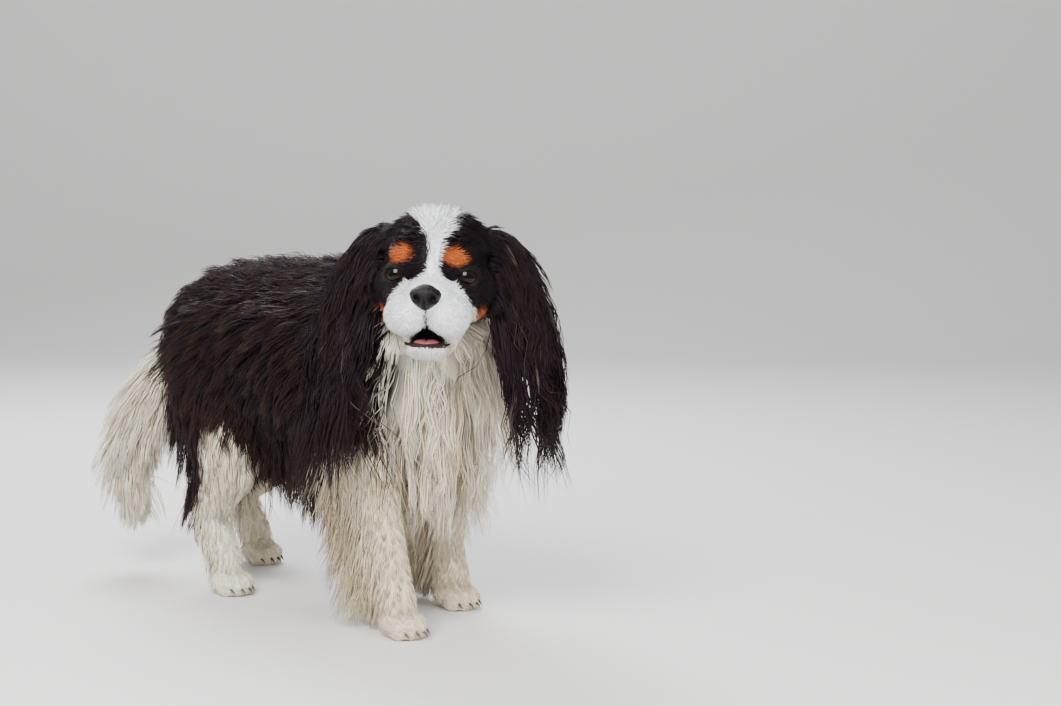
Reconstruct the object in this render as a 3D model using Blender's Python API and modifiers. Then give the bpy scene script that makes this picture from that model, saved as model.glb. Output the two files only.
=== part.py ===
"""A standing toy spaniel, life size, as a museum shows it: flesh, long coat, eyes, nose and tongue.

Metres, +Z up. The body faces -Y, its right side is at -X, and its head is turned to its right.
The origin is on the floor, under the middle of the whole model.
The flesh is modelled whole, fused and then parted. The long coat grows from it in flat locks.
"""

import math
import random
from collections import namedtuple

import bmesh
import bpy
from mathutils import Matrix, Vector
from mathutils.bvhtree import BVHTree

# Driving sizes of the dog, without its coat.
WITHERS = 0.322
BODY_LENGTH = 0.388
CHEST_WIDTH = 0.160
HEAD_WIDTH = 0.090
EYE_RADIUS = 0.0105
BREAST_Y = -0.055

# The stance. Places are measured from the floor between the fore paws, and the model's middle
# lies this far from there. The head's axes have -Y to the nose and +X to its left.
CENTRE = Vector((-0.0020, 0.1490, 0.0))
HEAD_AT = Vector((-0.0432, -0.0683, 0.333))
HEAD_TURN = math.radians(-48.7)
HEAD_NOD = math.radians(-2.0)
HEAD_TILT = math.radians(2.0)

# How the solids meet: the gap between parts, and the rooms that keep it where faces are bent.
GAP = 0.0003
LEG_GAP = 0.0004
SOCKET_GAP = 0.0007
EAR_BED = 0.0008
LEG_ROOM = 0.006

# How fine the fused flesh is, and how much of the coat's depth its core takes.
CORE_SHARE = 0.40
BODY_VOXEL = 0.0055
HEAD_VOXEL = 0.0030
SMOOTH_STEPS = 6
BODY_FACES = 1850
HEAD_FACES = 1150
EAR_FACES = 180

RIGHT, LEFT = -1, 1
SIDES = {"right": RIGHT, "left": LEFT}
DOWN = Vector((0, 0, -1))
REAR = Vector((0, 1, 0))


def clear_scene():
    """An empty scene, so that the dog is all that the file holds."""
    for obj in list(bpy.data.objects):
        bpy.data.objects.remove(obj)


def new_collection(name, hidden=False):
    collection = bpy.data.collections.new(name)
    collection.hide_render = hidden
    bpy.context.scene.collection.children.link(collection)
    return collection


def object_from(bm, name, collection):
    """The bmesh as a mesh object of that name."""
    mesh = bpy.data.meshes.new(name)
    bm.to_mesh(mesh)
    bm.free()
    obj = bpy.data.objects.new(name, mesh)
    collection.objects.link(obj)
    return obj


def applied(obj):
    """The object with its modifiers made part of its mesh."""
    graph = bpy.context.evaluated_depsgraph_get()
    mesh = bpy.data.meshes.new_from_object(obj.evaluated_get(graph))
    obj.modifiers.clear()
    obj.data = mesh
    return obj


def head_frame():
    """From the head's own axes to the dog's."""
    turn = Matrix.Rotation(HEAD_TURN, 4, "Z")
    nod = Matrix.Rotation(HEAD_NOD, 4, "X")
    tilt = Matrix.Rotation(HEAD_TILT, 4, "Y")
    return Matrix.Translation(HEAD_AT - CENTRE) @ turn @ nod @ tilt


HEAD = head_frame()


def in_head(point, side=LEFT):
    """A point of the head's left half, or its twin on the right, in the dog's axes."""
    return HEAD @ Vector((point[0] * side, point[1], point[2]))


def head_way(direction, side=LEFT):
    """A direction in the head's axes, or its twin, in the dog's axes."""
    return HEAD.to_3x3() @ Vector((direction[0] * side, direction[1], direction[2]))


def ring_matrix(centre, along, across, half_width, half_depth):
    """Where a unit circle goes to be one oval ring of a limb."""
    forward = along.normalized()
    side = (across - forward * across.dot(forward)).normalized()
    up = forward.cross(side)
    turn = Matrix((side, up, forward)).transposed().to_4x4()
    return Matrix.Translation(centre) @ turn @ Matrix.Diagonal((half_width, half_depth, 1, 1))


def add_loft(bm, matrices, segments, cups=None, tip=None, start=0.0):
    """A closed skin through unlike rings. A cup bends a ring's two edges to one side."""
    rings = []
    for i, matrix in enumerate(matrices):
        cup = cups[i] if cups else 0.0
        ring = []
        for k in range(segments):
            angle = start + math.tau * k / segments
            x, y = math.cos(angle), math.sin(angle)
            ring.append(bm.verts.new(matrix @ Vector((x, y + cup * x * x, 0))))
        rings.append(ring)
    for ring, after in zip(rings, rings[1:]):
        for k in range(segments):
            j = (k + 1) % segments
            bm.faces.new((ring[k], ring[j], after[j], after[k]))
    bm.faces.new(rings[0][::-1])
    if tip is None:
        bm.faces.new(rings[-1])
        return
    point = bm.verts.new(tip)
    for k in range(segments):
        bm.faces.new((rings[-1][k], rings[-1][(k + 1) % segments], point))


def add_limb(bm, rings, across=Vector((1, 0, 0)), segments=16, cups=None):
    """A closed tube of oval rings. Each has a centre, a half width and a half depth."""
    centres = [ring[0] for ring in rings]
    matrices = []
    for i, (centre, half_width, half_depth) in enumerate(rings):
        before = centres[max(i - 1, 0)]
        after = centres[min(i + 1, len(centres) - 1)]
        matrices.append(ring_matrix(centre, after - before, across, half_width, half_depth))
    add_loft(bm, matrices, segments, cups)


def add_ball(bm, centre, radii, frame=Matrix.Identity(4), segments=20, rings=12):
    """An ellipsoid, placed in a frame of its own."""
    place = frame @ Matrix.Translation(centre) @ Matrix.Diagonal((*radii, 1))
    bmesh.ops.create_uvsphere(bm, u_segments=segments, v_segments=rings, radius=1, matrix=place)


def add_block(bm, at, facing, half_width, depth):
    """A square block round a point, turned to face a way."""
    turn = facing.normalized().to_track_quat("Z", "Y").to_matrix().to_4x4()
    size = Matrix.Diagonal((2 * half_width, 2 * half_width, depth, 1))
    bmesh.ops.create_cube(bm, size=1, matrix=Matrix.Translation(at) @ turn @ size)


def solid(collection, add, *sizes, **more):
    """One closed body, made by one of the functions that add a shape."""
    bm = bmesh.new()
    add(bm, *sizes, **more)
    bmesh.ops.recalc_face_normals(bm, faces=bm.faces)
    bmesh.ops.triangulate(bm, faces=bm.faces, quad_method="FIXED")
    return object_from(bm, "solid", collection)


def fused(obj, voxel, faces):
    """Its overlapping closed shells made one smooth skin of about that many triangles."""
    join = obj.modifiers.new("join", "REMESH")
    join.mode = "VOXEL"
    join.voxel_size = voxel
    even = obj.modifiers.new("even", "SMOOTH")
    even.factor = 0.5
    even.iterations = SMOOTH_STEPS
    applied(obj)
    obj.data.calc_loop_triangles()
    thin = obj.modifiers.new("thin", "DECIMATE")
    thin.ratio = min(1.0, faces / len(obj.data.loop_triangles))
    thin.use_collapse_triangulate = True
    return applied(obj)


def boolean(obj, other, operation):
    """One Boolean of two closed meshes, applied. The other object is removed."""
    cut = obj.modifiers.new(operation.lower(), "BOOLEAN")
    cut.operation = operation
    cut.object = other
    cut.solver = "MANIFOLD"
    applied(obj)
    bpy.data.objects.remove(other)
    return obj


def joined(obj, pieces):
    """One union of a part with all that grows from it, and then only its largest surface."""
    union = obj.modifiers.new("union", "BOOLEAN")
    union.operation = "UNION"
    union.operand_type = "COLLECTION"
    union.collection = pieces
    union.solver = "MANIFOLD"
    applied(obj)
    for piece in list(pieces.objects):
        bpy.data.objects.remove(piece)
    return largest_surface(obj)


def islands(bm):
    """The bmesh's separate shells, each a list of faces."""
    seen = set()
    found = []
    for first in bm.faces:
        if first in seen:
            continue
        seen.add(first)
        shell = [first]
        for face in shell:
            for near in (g for e in face.edges for g in e.link_faces):
                if near not in seen:
                    seen.add(near)
                    shell.append(near)
        found.append(shell)
    return found


def shell_volume(faces):
    """Six times the volume inside a closed shell."""
    total = 0.0
    for face in faces:
        first, *rest = [v.co for v in face.verts]
        for a, b in zip(rest, rest[1:]):
            total += first.dot(a.cross(b))
    return total


def largest_surface(obj):
    """Only the largest closed surface of the mesh: loose scraps and sealed hollows go."""
    bm = bmesh.new()
    bm.from_mesh(obj.data)
    shells = sorted(islands(bm), key=shell_volume)
    loose = [face for shell in shells[:-1] for face in shell]
    if loose:
        bmesh.ops.delete(bm, geom=loose, context="FACES")
    bm.to_mesh(obj.data)
    bm.free()
    return obj


def split(whole, marks, collection):
    """The shells of a parted mesh, each named for the mark that lies nearest to it."""
    bm = bmesh.new()
    bm.from_mesh(whole.data)
    shells = islands(bm)
    parts = {}
    for name, mark in marks.items():
        shell = min(shells, key=lambda faces: min((f.calc_center_median() - mark).length for f in faces))
        piece = bmesh.new()
        copies = {}
        for face in shell:
            for vert in face.verts:
                if vert not in copies:
                    copies[vert] = piece.verts.new(vert.co)
            piece.faces.new([copies[v] for v in face.verts])
        parts[name] = object_from(piece, name, collection)
    bm.free()
    bpy.data.objects.remove(whole)
    return parts


def grown(rings, by):
    """The rings of a limb made larger all round, its first end too."""
    (first, *size), *rest = [(centre, w + by, d + by) for centre, w, d in rings]
    out = (first - rest[0][0]).normalized() * by
    return [(first + out, *size)] + rest


def swollen(obj, by, collection):
    """A copy of a closed mesh with its surface moved outwards."""
    bm = bmesh.new()
    bm.from_mesh(obj.data)
    bm.normal_update()
    for vert in bm.verts:
        vert.co += vert.normal * by
    return object_from(bm, "swollen", collection)


# The torso from breast to buttock: share of the body's length, top and bottom as shares of the
# withers' height, half width as a share of the chest's width, and depth of the coat.
TORSO = {
    "breast": (0.00, 0.73, 0.55, 0.19, 0.020),
    "forechest": (0.05, 0.84, 0.49, 0.34, 0.020),
    "shoulders": (0.14, 0.97, 0.46, 0.44, 0.018),
    "withers": (0.27, 1.00, 0.455, 0.480, 0.020),
    "ribs": (0.43, 0.995, 0.46, 0.500, 0.022),
    "flank": (0.59, 0.990, 0.485, 0.490, 0.022),
    "loin": (0.74, 0.980, 0.53, 0.450, 0.022),
    "hips": (0.84, 0.955, 0.57, 0.425, 0.022),
    "croup": (0.93, 0.890, 0.60, 0.33, 0.022),
    "buttock": (1.00, 0.79, 0.64, 0.20, 0.020),
}

# Limbs: joints with x for a left limb, y, z, half width, half depth and coat.
NECK = {
    "base": (0.000, 0.030, 0.262, 0.062, 0.058, 0.012),
    "middle": (-0.020, -0.020, 0.288, 0.055, 0.050, 0.012),
    "nape": (-0.036, -0.046, 0.318, 0.046, 0.044, 0.010),
}
FORE_LEG = {
    "shoulder": (0.048, 0.010, 0.235, 0.030, 0.040, 0.010),
    "elbow": (0.054, 0.022, 0.165, 0.0215, 0.026, 0.010),
    "forearm": (0.056, 0.012, 0.110, 0.0165, 0.019, 0.008),
    "wrist": (0.057, 0.004, 0.058, 0.0140, 0.0150, 0.006),
    "pastern": (0.057, -0.003, 0.030, 0.0140, 0.0150, 0.005),
}
HIND_LEG = {
    "hip": (0.040, 0.055, 0.245, 0.034, 0.050, 0.012),
    "thigh": (0.050, 0.035, 0.190, 0.032, 0.048, 0.012),
    "stifle": (0.056, 0.018, 0.142, 0.026, 0.033, 0.010),
    "second_thigh": (0.057, 0.036, 0.105, 0.018, 0.022, 0.008),
    "hock": (0.057, 0.052, 0.072, 0.0125, 0.0150, 0.006),
    "cannon": (0.057, 0.030, 0.034, 0.0125, 0.0130, 0.005),
}
TAIL = {
    "root": (0.000, 0.300, 0.258, 0.022, 0.022, 0.010),
    "dock": (-0.010, 0.354, 0.240, 0.015, 0.015, 0.010),
    "middle": (-0.040, 0.394, 0.200, 0.011, 0.011, 0.014),
    "lower": (-0.064, 0.408, 0.150, 0.009, 0.009, 0.014),
    "tip": (-0.074, 0.404, 0.104, 0.006, 0.006, 0.012),
}

# Where each leg stands: how far its upper joints and its paw are moved along the body.
FORE_TOP = 0.0
FORE_STEP = {RIGHT: -0.026, LEFT: 0.026}
HIND_TOP = 0.205
HIND_STEP = {RIGHT: 0.196, LEFT: 0.296}
PAW_LENGTH = 0.046
PAW_WIDTH = 0.038
PAW_HEIGHT = 0.026
TOES = ((-1.5, 0.16), (-0.5, 0.30), (0.5, 0.30), (1.5, 0.16))


def torso_ring(name, share=0.0):
    """Centre, half width and half depth of one torso ring, with a share of its coat."""
    along, top, bottom, half_width, coat = TORSO[name]
    centre = Vector((0, BREAST_Y + along * BODY_LENGTH, (top + bottom) / 2 * WITHERS)) - CENTRE
    return centre, half_width * CHEST_WIDTH + coat * share, (top - bottom) / 2 * WITHERS + coat * share


def limb_rings(table, share, side=LEFT, step=0.0, top=None):
    """The rings of a limb on one side, moved along the body by step, and by top at its first joint."""
    rings = []
    for i, (x, y, z, half_width, half_depth, coat) in enumerate(table.values()):
        moved = step
        if top is not None:
            reach = min(1, i / (len(table) - 1) * 1.25)
            moved = top + (step - top) * reach
        centre = Vector((x * side, y + moved, z)) - CENTRE
        rings.append((centre, half_width + coat * share, half_depth + coat * share))
    return rings


def leg_rings(pair, side, share=0.0):
    """The rings of one leg of the fore or the hind pair."""
    if pair == "fore":
        return limb_rings(FORE_LEG, share, side, FORE_STEP[side], FORE_TOP)
    return limb_rings(HIND_LEG, share, side, HIND_STEP[side], HIND_TOP)


def paw_place(pair, side):
    """The point on the floor under the middle of a paw."""
    foot = leg_rings(pair, side)[-1][0]
    return Vector((foot.x, foot.y - PAW_LENGTH * 0.16, 0))


def add_paw(bm, pair, side):
    """A paw: a pad with four knuckled toes."""
    at = paw_place(pair, side)
    pad = at + Vector((0, 0.004, PAW_HEIGHT * 0.5))
    add_ball(bm, pad, (PAW_WIDTH * 0.50, PAW_LENGTH * 0.42, PAW_HEIGHT * 0.62))
    for across, ahead in TOES:
        toe = at + Vector((across * PAW_WIDTH * 0.22, -PAW_LENGTH * ahead, PAW_HEIGHT * 0.36))
        radii = (PAW_WIDTH * 0.19, PAW_LENGTH * 0.22, PAW_HEIGHT * 0.44)
        add_ball(bm, toe, radii, segments=12, rings=8)


# The head in its own axes: centre and radii of each mass of flesh.
HEAD_MASSES = {
    "skull": ((0, 0.002, 0.004), (0.0450, 0.0520, 0.0455)),
    "nape": ((0, 0.030, -0.016), (0.0380, 0.0320, 0.0360)),
    "muzzle": ((0, -0.050, -0.0265), (0.0240, 0.0310, 0.0190)),
    "jaw": ((0, -0.022, -0.048), (0.0290, 0.0400, 0.0200)),
    "chin": ((0, -0.056, -0.0670), (0.0175, 0.0170, 0.0090)),
}
PAIRED_MASSES = {
    "temple": ((0.0240, 0.0040, 0.0200), (0.0220, 0.0300, 0.0260)),
    "cheek": ((0.028, -0.006, -0.018), (0.0230, 0.0350, 0.0270)),
    "brow": ((0.0225, -0.0290, 0.0135), (0.0150, 0.0145, 0.0125)),
    "cushion": ((0.0240, -0.0390, -0.0240), (0.0160, 0.0180, 0.0120)),
    "flew": ((0.0180, -0.0600, -0.0395), (0.0185, 0.0200, 0.0170)),
}
HEAD_COAT = 0.006
EYE_AT = (0.0300, -0.0345, -0.0065)
EYE_LOOK = (0.22, -0.975, 0.03)
EYE_OPENING = (0.0086, 0.0064)
LID_DEPTH = 0.0026
NOSE_AT = (0, -0.0795, -0.0230)
NOSE_RADII = (0.0132, 0.0095, 0.0105)
NOSTRILS = (
    ((0.0062, -0.0885, -0.0227), (0.0030, 0.0045, 0.0032)),
    ((0.0105, -0.0865, -0.0247), (0.0040, 0.0040, 0.0011)),
)
TONGUE_AT = (0, -0.0630, -0.0592)
TONGUE_RADII = (0.0100, 0.0120, 0.0024)

# The line of the mouth from its left corner to its apex: a point, half depth and half height.
MOUTH = {
    "corner": (0.0290, -0.0460, -0.0615, 0.0060, 0.0006),
    "lip": (0.0235, -0.0545, -0.0618, 0.0100, 0.0010),
    "flew": (0.0160, -0.0630, -0.0612, 0.0160, 0.0015),
    "front": (0.0080, -0.0680, -0.0585, 0.0200, 0.0036),
    "apex": (0.0000, -0.0690, -0.0545, 0.0210, 0.0062),
}

# The left ear in the head's axes: the flap hangs from high on the skull, its broad side turned
# half forward. Centre, half width, half thickness, and cup towards the head.
EAR = {
    "root": ((0.030, 0.010, 0.022), 0.018, 0.0090, 0.0),
    "base": ((0.043, 0.009, 0.022), 0.020, 0.0080, 0.2),
    "fold": ((0.055, 0.009, 0.009), 0.024, 0.0060, 0.6),
    "upper": ((0.064, 0.009, -0.013), 0.028, 0.0050, 1.0),
    "middle": ((0.072, 0.007, -0.041), 0.030, 0.0048, 0.9),
    "lower": ((0.079, 0.003, -0.068), 0.026, 0.0045, 0.6),
    "tip": ((0.082, -0.001, -0.090), 0.014, 0.0040, 0.3),
}
EAR_ACROSS = (0.85, 0.53, 0.0)

# Where the parts of the body meet: a point on the plane between two, and the way it faces.
NAPE_AT = (0, 0.026, -0.030)
NAPE_FACING = (0, -0.62, 0.78)
COLLAR_AT = Vector((-0.006, -0.008, 0.288))
COLLAR_FACING = Vector((-0.20, -0.50, 0.83))
COLLAR_HALF_WIDTH = 0.105
DOCK_HALF_WIDTH = 0.030
BLOCK = 0.30


def add_head(bm):
    """The masses of the head, with a share of their short coat."""
    fit = HEAD_WIDTH / 0.090
    grow = HEAD_COAT * CORE_SHARE
    for centre, radii in HEAD_MASSES.values():
        add_ball(bm, centre, [r * fit + grow for r in radii], HEAD)
    for (x, y, z), radii in PAIRED_MASSES.values():
        for side in SIDES.values():
            add_ball(bm, (x * side, y, z), [r * fit + grow for r in radii], HEAD)


def body_flesh(collection, cutters):
    """The dog behind its head, without its long coat, fused as one skin and flat on the floor."""
    bm = bmesh.new()
    add_limb(bm, [torso_ring(name, CORE_SHARE) for name in TORSO], segments=24)
    add_limb(bm, limb_rings(NECK, CORE_SHARE))
    add_limb(bm, limb_rings(TAIL, CORE_SHARE))
    for side in SIDES.values():
        for pair in ("fore", "hind"):
            add_limb(bm, leg_rings(pair, side, CORE_SHARE))
            add_paw(bm, pair, side)
    add_head(bm)
    bmesh.ops.recalc_face_normals(bm, faces=bm.faces)
    whole = fused(object_from(bm, "flesh", collection), BODY_VOXEL, BODY_FACES)
    floor = solid(cutters, add_block, DOWN * BLOCK / 2, DOWN, 1.0, BLOCK)
    boolean(whole, floor, "DIFFERENCE")
    ahead = head_way(NAPE_FACING).normalized()
    front = solid(cutters, add_block, in_head(NAPE_AT) + ahead * BLOCK / 2, ahead, BLOCK, BLOCK)
    boolean(whole, front, "DIFFERENCE")
    return largest_surface(whole)


def leg_region(pair, side):
    """Rings round all of one leg, from inside the trunk to below the floor."""
    rings = grown(leg_rings(pair, side, CORE_SHARE), LEG_ROOM)
    at = paw_place(pair, side)
    for height in (PAW_HEIGHT * 1.25, -0.01):
        rings.append((at + Vector((0, -0.004, height)), PAW_WIDTH * 0.70, PAW_LENGTH * 0.80))
    return rings


def taken_out(whole, rings, name, collection, cutters):
    """The flesh inside a limb's grown rings as a part of its own, a gap away from the rest."""
    part = bpy.data.objects.new(name, whole.data.copy())
    collection.objects.link(part)
    boolean(part, solid(cutters, add_limb, rings), "INTERSECT")
    boolean(whole, solid(cutters, add_limb, grown(rings, LEG_GAP)), "DIFFERENCE")
    largest_surface(whole)
    return largest_surface(part)


def part_body(whole, collection, cutters):
    """The flesh behind the head as one object for each named part."""
    parts = {}
    for word, side in SIDES.items():
        for pair in ("fore", "hind"):
            name = f"leg_{pair}_{word}"
            parts[name] = taken_out(whole, leg_region(pair, side), name, collection, cutters)
    tail = [ring[0] for ring in limb_rings(TAIL, 0)]
    collar = (COLLAR_AT - CENTRE, COLLAR_FACING, COLLAR_HALF_WIDTH, GAP)
    dock = (tail[1], tail[1] - tail[0], DOCK_HALF_WIDTH, GAP)
    for cut in (collar, dock):
        boolean(whole, solid(cutters, add_block, *cut), "DIFFERENCE")
    neck = [ring[0] for ring in limb_rings(NECK, 0)]
    marks = {
        "torso": torso_ring("ribs")[0] + Vector((0, 0, WITHERS / 4)),
        "neck": neck[1].lerp(neck[2], 0.5),
        "tail": tail[-1],
    }
    parts.update(split(whole, marks, collection))
    return parts


def add_eyeball(bm, side, grow=0.0):
    """The ball of an eye, or with some growth its socket or the lids round it."""
    add_ball(bm, in_head(EYE_AT, side), [EYE_RADIUS + grow] * 3, segments=14, rings=8)


def add_lid_opening(bm, side):
    """The oval between the lids, as a tube out of the eye."""
    look = head_way(EYE_LOOK, side)
    start = in_head(EYE_AT, side)
    ends = (start, start + look * EYE_RADIUS * 2)
    add_loft(bm, [ring_matrix(end, look, head_way((1, 0, 0)), *EYE_OPENING) for end in ends], 14)


def add_mouth(bm):
    """The gap between the lips: a low arch, highest in the middle and closed at its corners."""
    left = list(MOUTH.values())
    right = [(-x, y, z, depth, height) for x, y, z, depth, height in left[:-1]]
    inward = head_way((0, 1, 0))
    matrices = []
    for x, y, z, depth, height in right + left[::-1]:
        matrices.append(ring_matrix(in_head((x, y, z)), head_way((1, 0, 0)), inward, depth, height))
    add_loft(bm, matrices, 10)


def ear_rings(side):
    """The rings of one ear in the dog's axes, the way across it, and its cups."""
    rings = [(in_head(centre, side), width, thick) for centre, width, thick, _ in EAR.values()]
    across = HEAD.to_3x3() @ Vector((EAR_ACROSS[0] * side, EAR_ACROSS[1], EAR_ACROSS[2]))
    return rings, across, [cup * side for *_, cup in EAR.values()]


def head_flesh(collection, cutters):
    """The head ahead of the nape, fused as one skin."""
    bm = bmesh.new()
    add_head(bm)
    add_limb(bm, limb_rings(NECK, CORE_SHARE))
    bmesh.ops.recalc_face_normals(bm, faces=bm.faces)
    head = fused(object_from(bm, "head", collection), HEAD_VOXEL, HEAD_FACES)
    behind = -head_way(NAPE_FACING).normalized()
    middle = in_head(NAPE_AT) + behind * (BLOCK / 2 - GAP)
    boolean(head, solid(cutters, add_block, middle, behind, BLOCK, BLOCK), "DIFFERENCE")
    return largest_surface(head)


def part_head(head, collection, cutters):
    """The head with its lids, its mouth, and beds for ears, eyes, nose and tongue; and its ears."""
    parts = {}
    for side in SIDES.values():
        boolean(head, solid(cutters, add_eyeball, side, LID_DEPTH), "UNION")
    for word, side in SIDES.items():
        rings, across, cups = ear_rings(side)
        flap = solid(collection, add_limb, rings, across, 16, cups)
        parts["ear_" + word] = fused(flap, HEAD_VOXEL, EAR_FACES)
        boolean(head, swollen(flap, EAR_BED, cutters), "DIFFERENCE")
        boolean(head, solid(cutters, add_eyeball, side, SOCKET_GAP), "DIFFERENCE")
        boolean(head, solid(cutters, add_lid_opening, side), "DIFFERENCE")
    boolean(head, solid(cutters, add_mouth), "DIFFERENCE")
    for at, radii in ((NOSE_AT, NOSE_RADII), (TONGUE_AT, TONGUE_RADII)):
        bed = solid(cutters, add_ball, at, [r + GAP for r in radii], HEAD, 14, 8)
        boolean(head, bed, "DIFFERENCE")
    parts["head"] = largest_surface(head)
    return parts


def small_parts(collection, cutters):
    """The eyes, the nose with its nostrils, and the tongue."""
    parts = {}
    for word, side in SIDES.items():
        parts["eye_" + word] = solid(collection, add_eyeball, side)
    parts["nose"] = solid(collection, add_ball, NOSE_AT, NOSE_RADII, HEAD, 14, 8)
    for side in SIDES.values():
        for (x, y, z), radii in NOSTRILS:
            hole = solid(cutters, add_ball, (x * side, y, z), radii, HEAD, 8, 5)
            boolean(parts["nose"], hole, "DIFFERENCE")
    parts["tongue"] = solid(collection, add_ball, TONGUE_AT, TONGUE_RADII, HEAD, 14, 8)
    return parts


# One lock of the coat: its length, width and thickness, its lift off the skin in degrees, how
# far it stands over the core, and how deep its root is sunk.
Lock = namedtuple("Lock", "length width thickness lift reach sink")
LOCKS = {
    "spine": Lock(0.066, 0.048, 0.0050, 16, 0.014, 0.005),
    "back": Lock(0.070, 0.050, 0.0050, 14, 0.014, 0.005),
    "side": Lock(0.080, 0.053, 0.0052, 14, 0.014, 0.005),
    "flank": Lock(0.084, 0.053, 0.0052, 14, 0.014, 0.005),
    "fringe": Lock(0.112, 0.047, 0.0050, 8, 0.012, 0.005),
    "belly": Lock(0.050, 0.048, 0.0050, 12, 0.010, 0.005),
    "rump": Lock(0.076, 0.046, 0.0052, 14, 0.015, 0.005),
    "breast": Lock(0.096, 0.042, 0.0052, 16, 0.013, 0.005),
    "bib": Lock(0.132, 0.040, 0.0052, 18, 0.012, 0.005),
    "neck": Lock(0.074, 0.046, 0.0050, 18, 0.010, 0.005),
    "ruff": Lock(0.100, 0.042, 0.0052, 20, 0.012, 0.005),
    "ear": Lock(0.090, 0.036, 0.0048, 8, 0.006, 0.0035),
    "ear_end": Lock(0.128, 0.032, 0.0048, 5, 0.005, 0.0030),
    "feather": Lock(0.086, 0.029, 0.0046, 20, 0.010, 0.005),
    "breeches": Lock(0.074, 0.035, 0.0048, 18, 0.012, 0.005),
    "hock": Lock(0.040, 0.021, 0.0040, 22, 0.008, 0.004),
    "plume": Lock(0.070, 0.039, 0.0048, 34, 0.022, 0.0045),
    "plume_end": Lock(0.062, 0.029, 0.0046, 12, 0.010, 0.004),
}
LOCK_SHAPE = (0.55, 1.00, 0.72)
LOCK_START = math.radians(90)
LOCK_DROOP = 0.18
EAR_DROOP = 0.55
LOCK_WAVE = 0.16
LOCK_TURN = 0.12
LOCK_TRIES = 6
TRY_LIFT = 5
TRY_RISE = 0.0030
TRY_SHRINK = 0.05
TIER = 0.004
CLEAR = 0.0009
NEAR = 0.030
SEED = 9
FLOOR_CLEAR = 0.002


def skin_of(obj):
    """The surface of an object, to measure distances from."""
    mesh = obj.data
    return BVHTree.FromPolygons([v.co for v in mesh.vertices], [tuple(p.vertices) for p in mesh.polygons])


def along_skin(direction, normal):
    """The part of a direction that runs along a skin."""
    flat = direction - normal * direction.dot(normal)
    return flat.normalized() if flat.length > 1e-6 else normal.orthogonal().normalized()


def pushed_out(point, skin, height):
    """The point, moved out where it is nearer to a skin than that height."""
    near, normal, _, _ = skin.find_nearest(point, NEAR)
    if near is None:
        return point
    above = (point - near).dot(normal)
    return point + normal * (height - above) if above < height else point


def over_locks(point, out, locks, room):
    """The point, moved outwards where it is within some room of another part's lock."""
    for lock in locks:
        near, _, _, distance = lock.find_nearest(point, room)
        if near is not None:
            point = point + out * (room - distance + CLEAR)
    return point


def lock_mesh(line, normal, width, thickness):
    """A tapered lock along a line, three-sided: flat below and ridged above."""
    bm = bmesh.new()
    matrices = []
    for i, share in enumerate(LOCK_SHAPE):
        along = line[i + 1] - line[max(i - 1, 0)]
        across = normal.cross(along)
        matrices.append(ring_matrix(line[i], along, across, width / 2 * share, thickness / 2 * share))
    add_loft(bm, matrices, 3, tip=line[-1], start=LOCK_START)
    bmesh.ops.recalc_face_normals(bm, faces=bm.faces)
    bmesh.ops.triangulate(bm, faces=bm.faces, quad_method="FIXED")
    return bm


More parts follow.
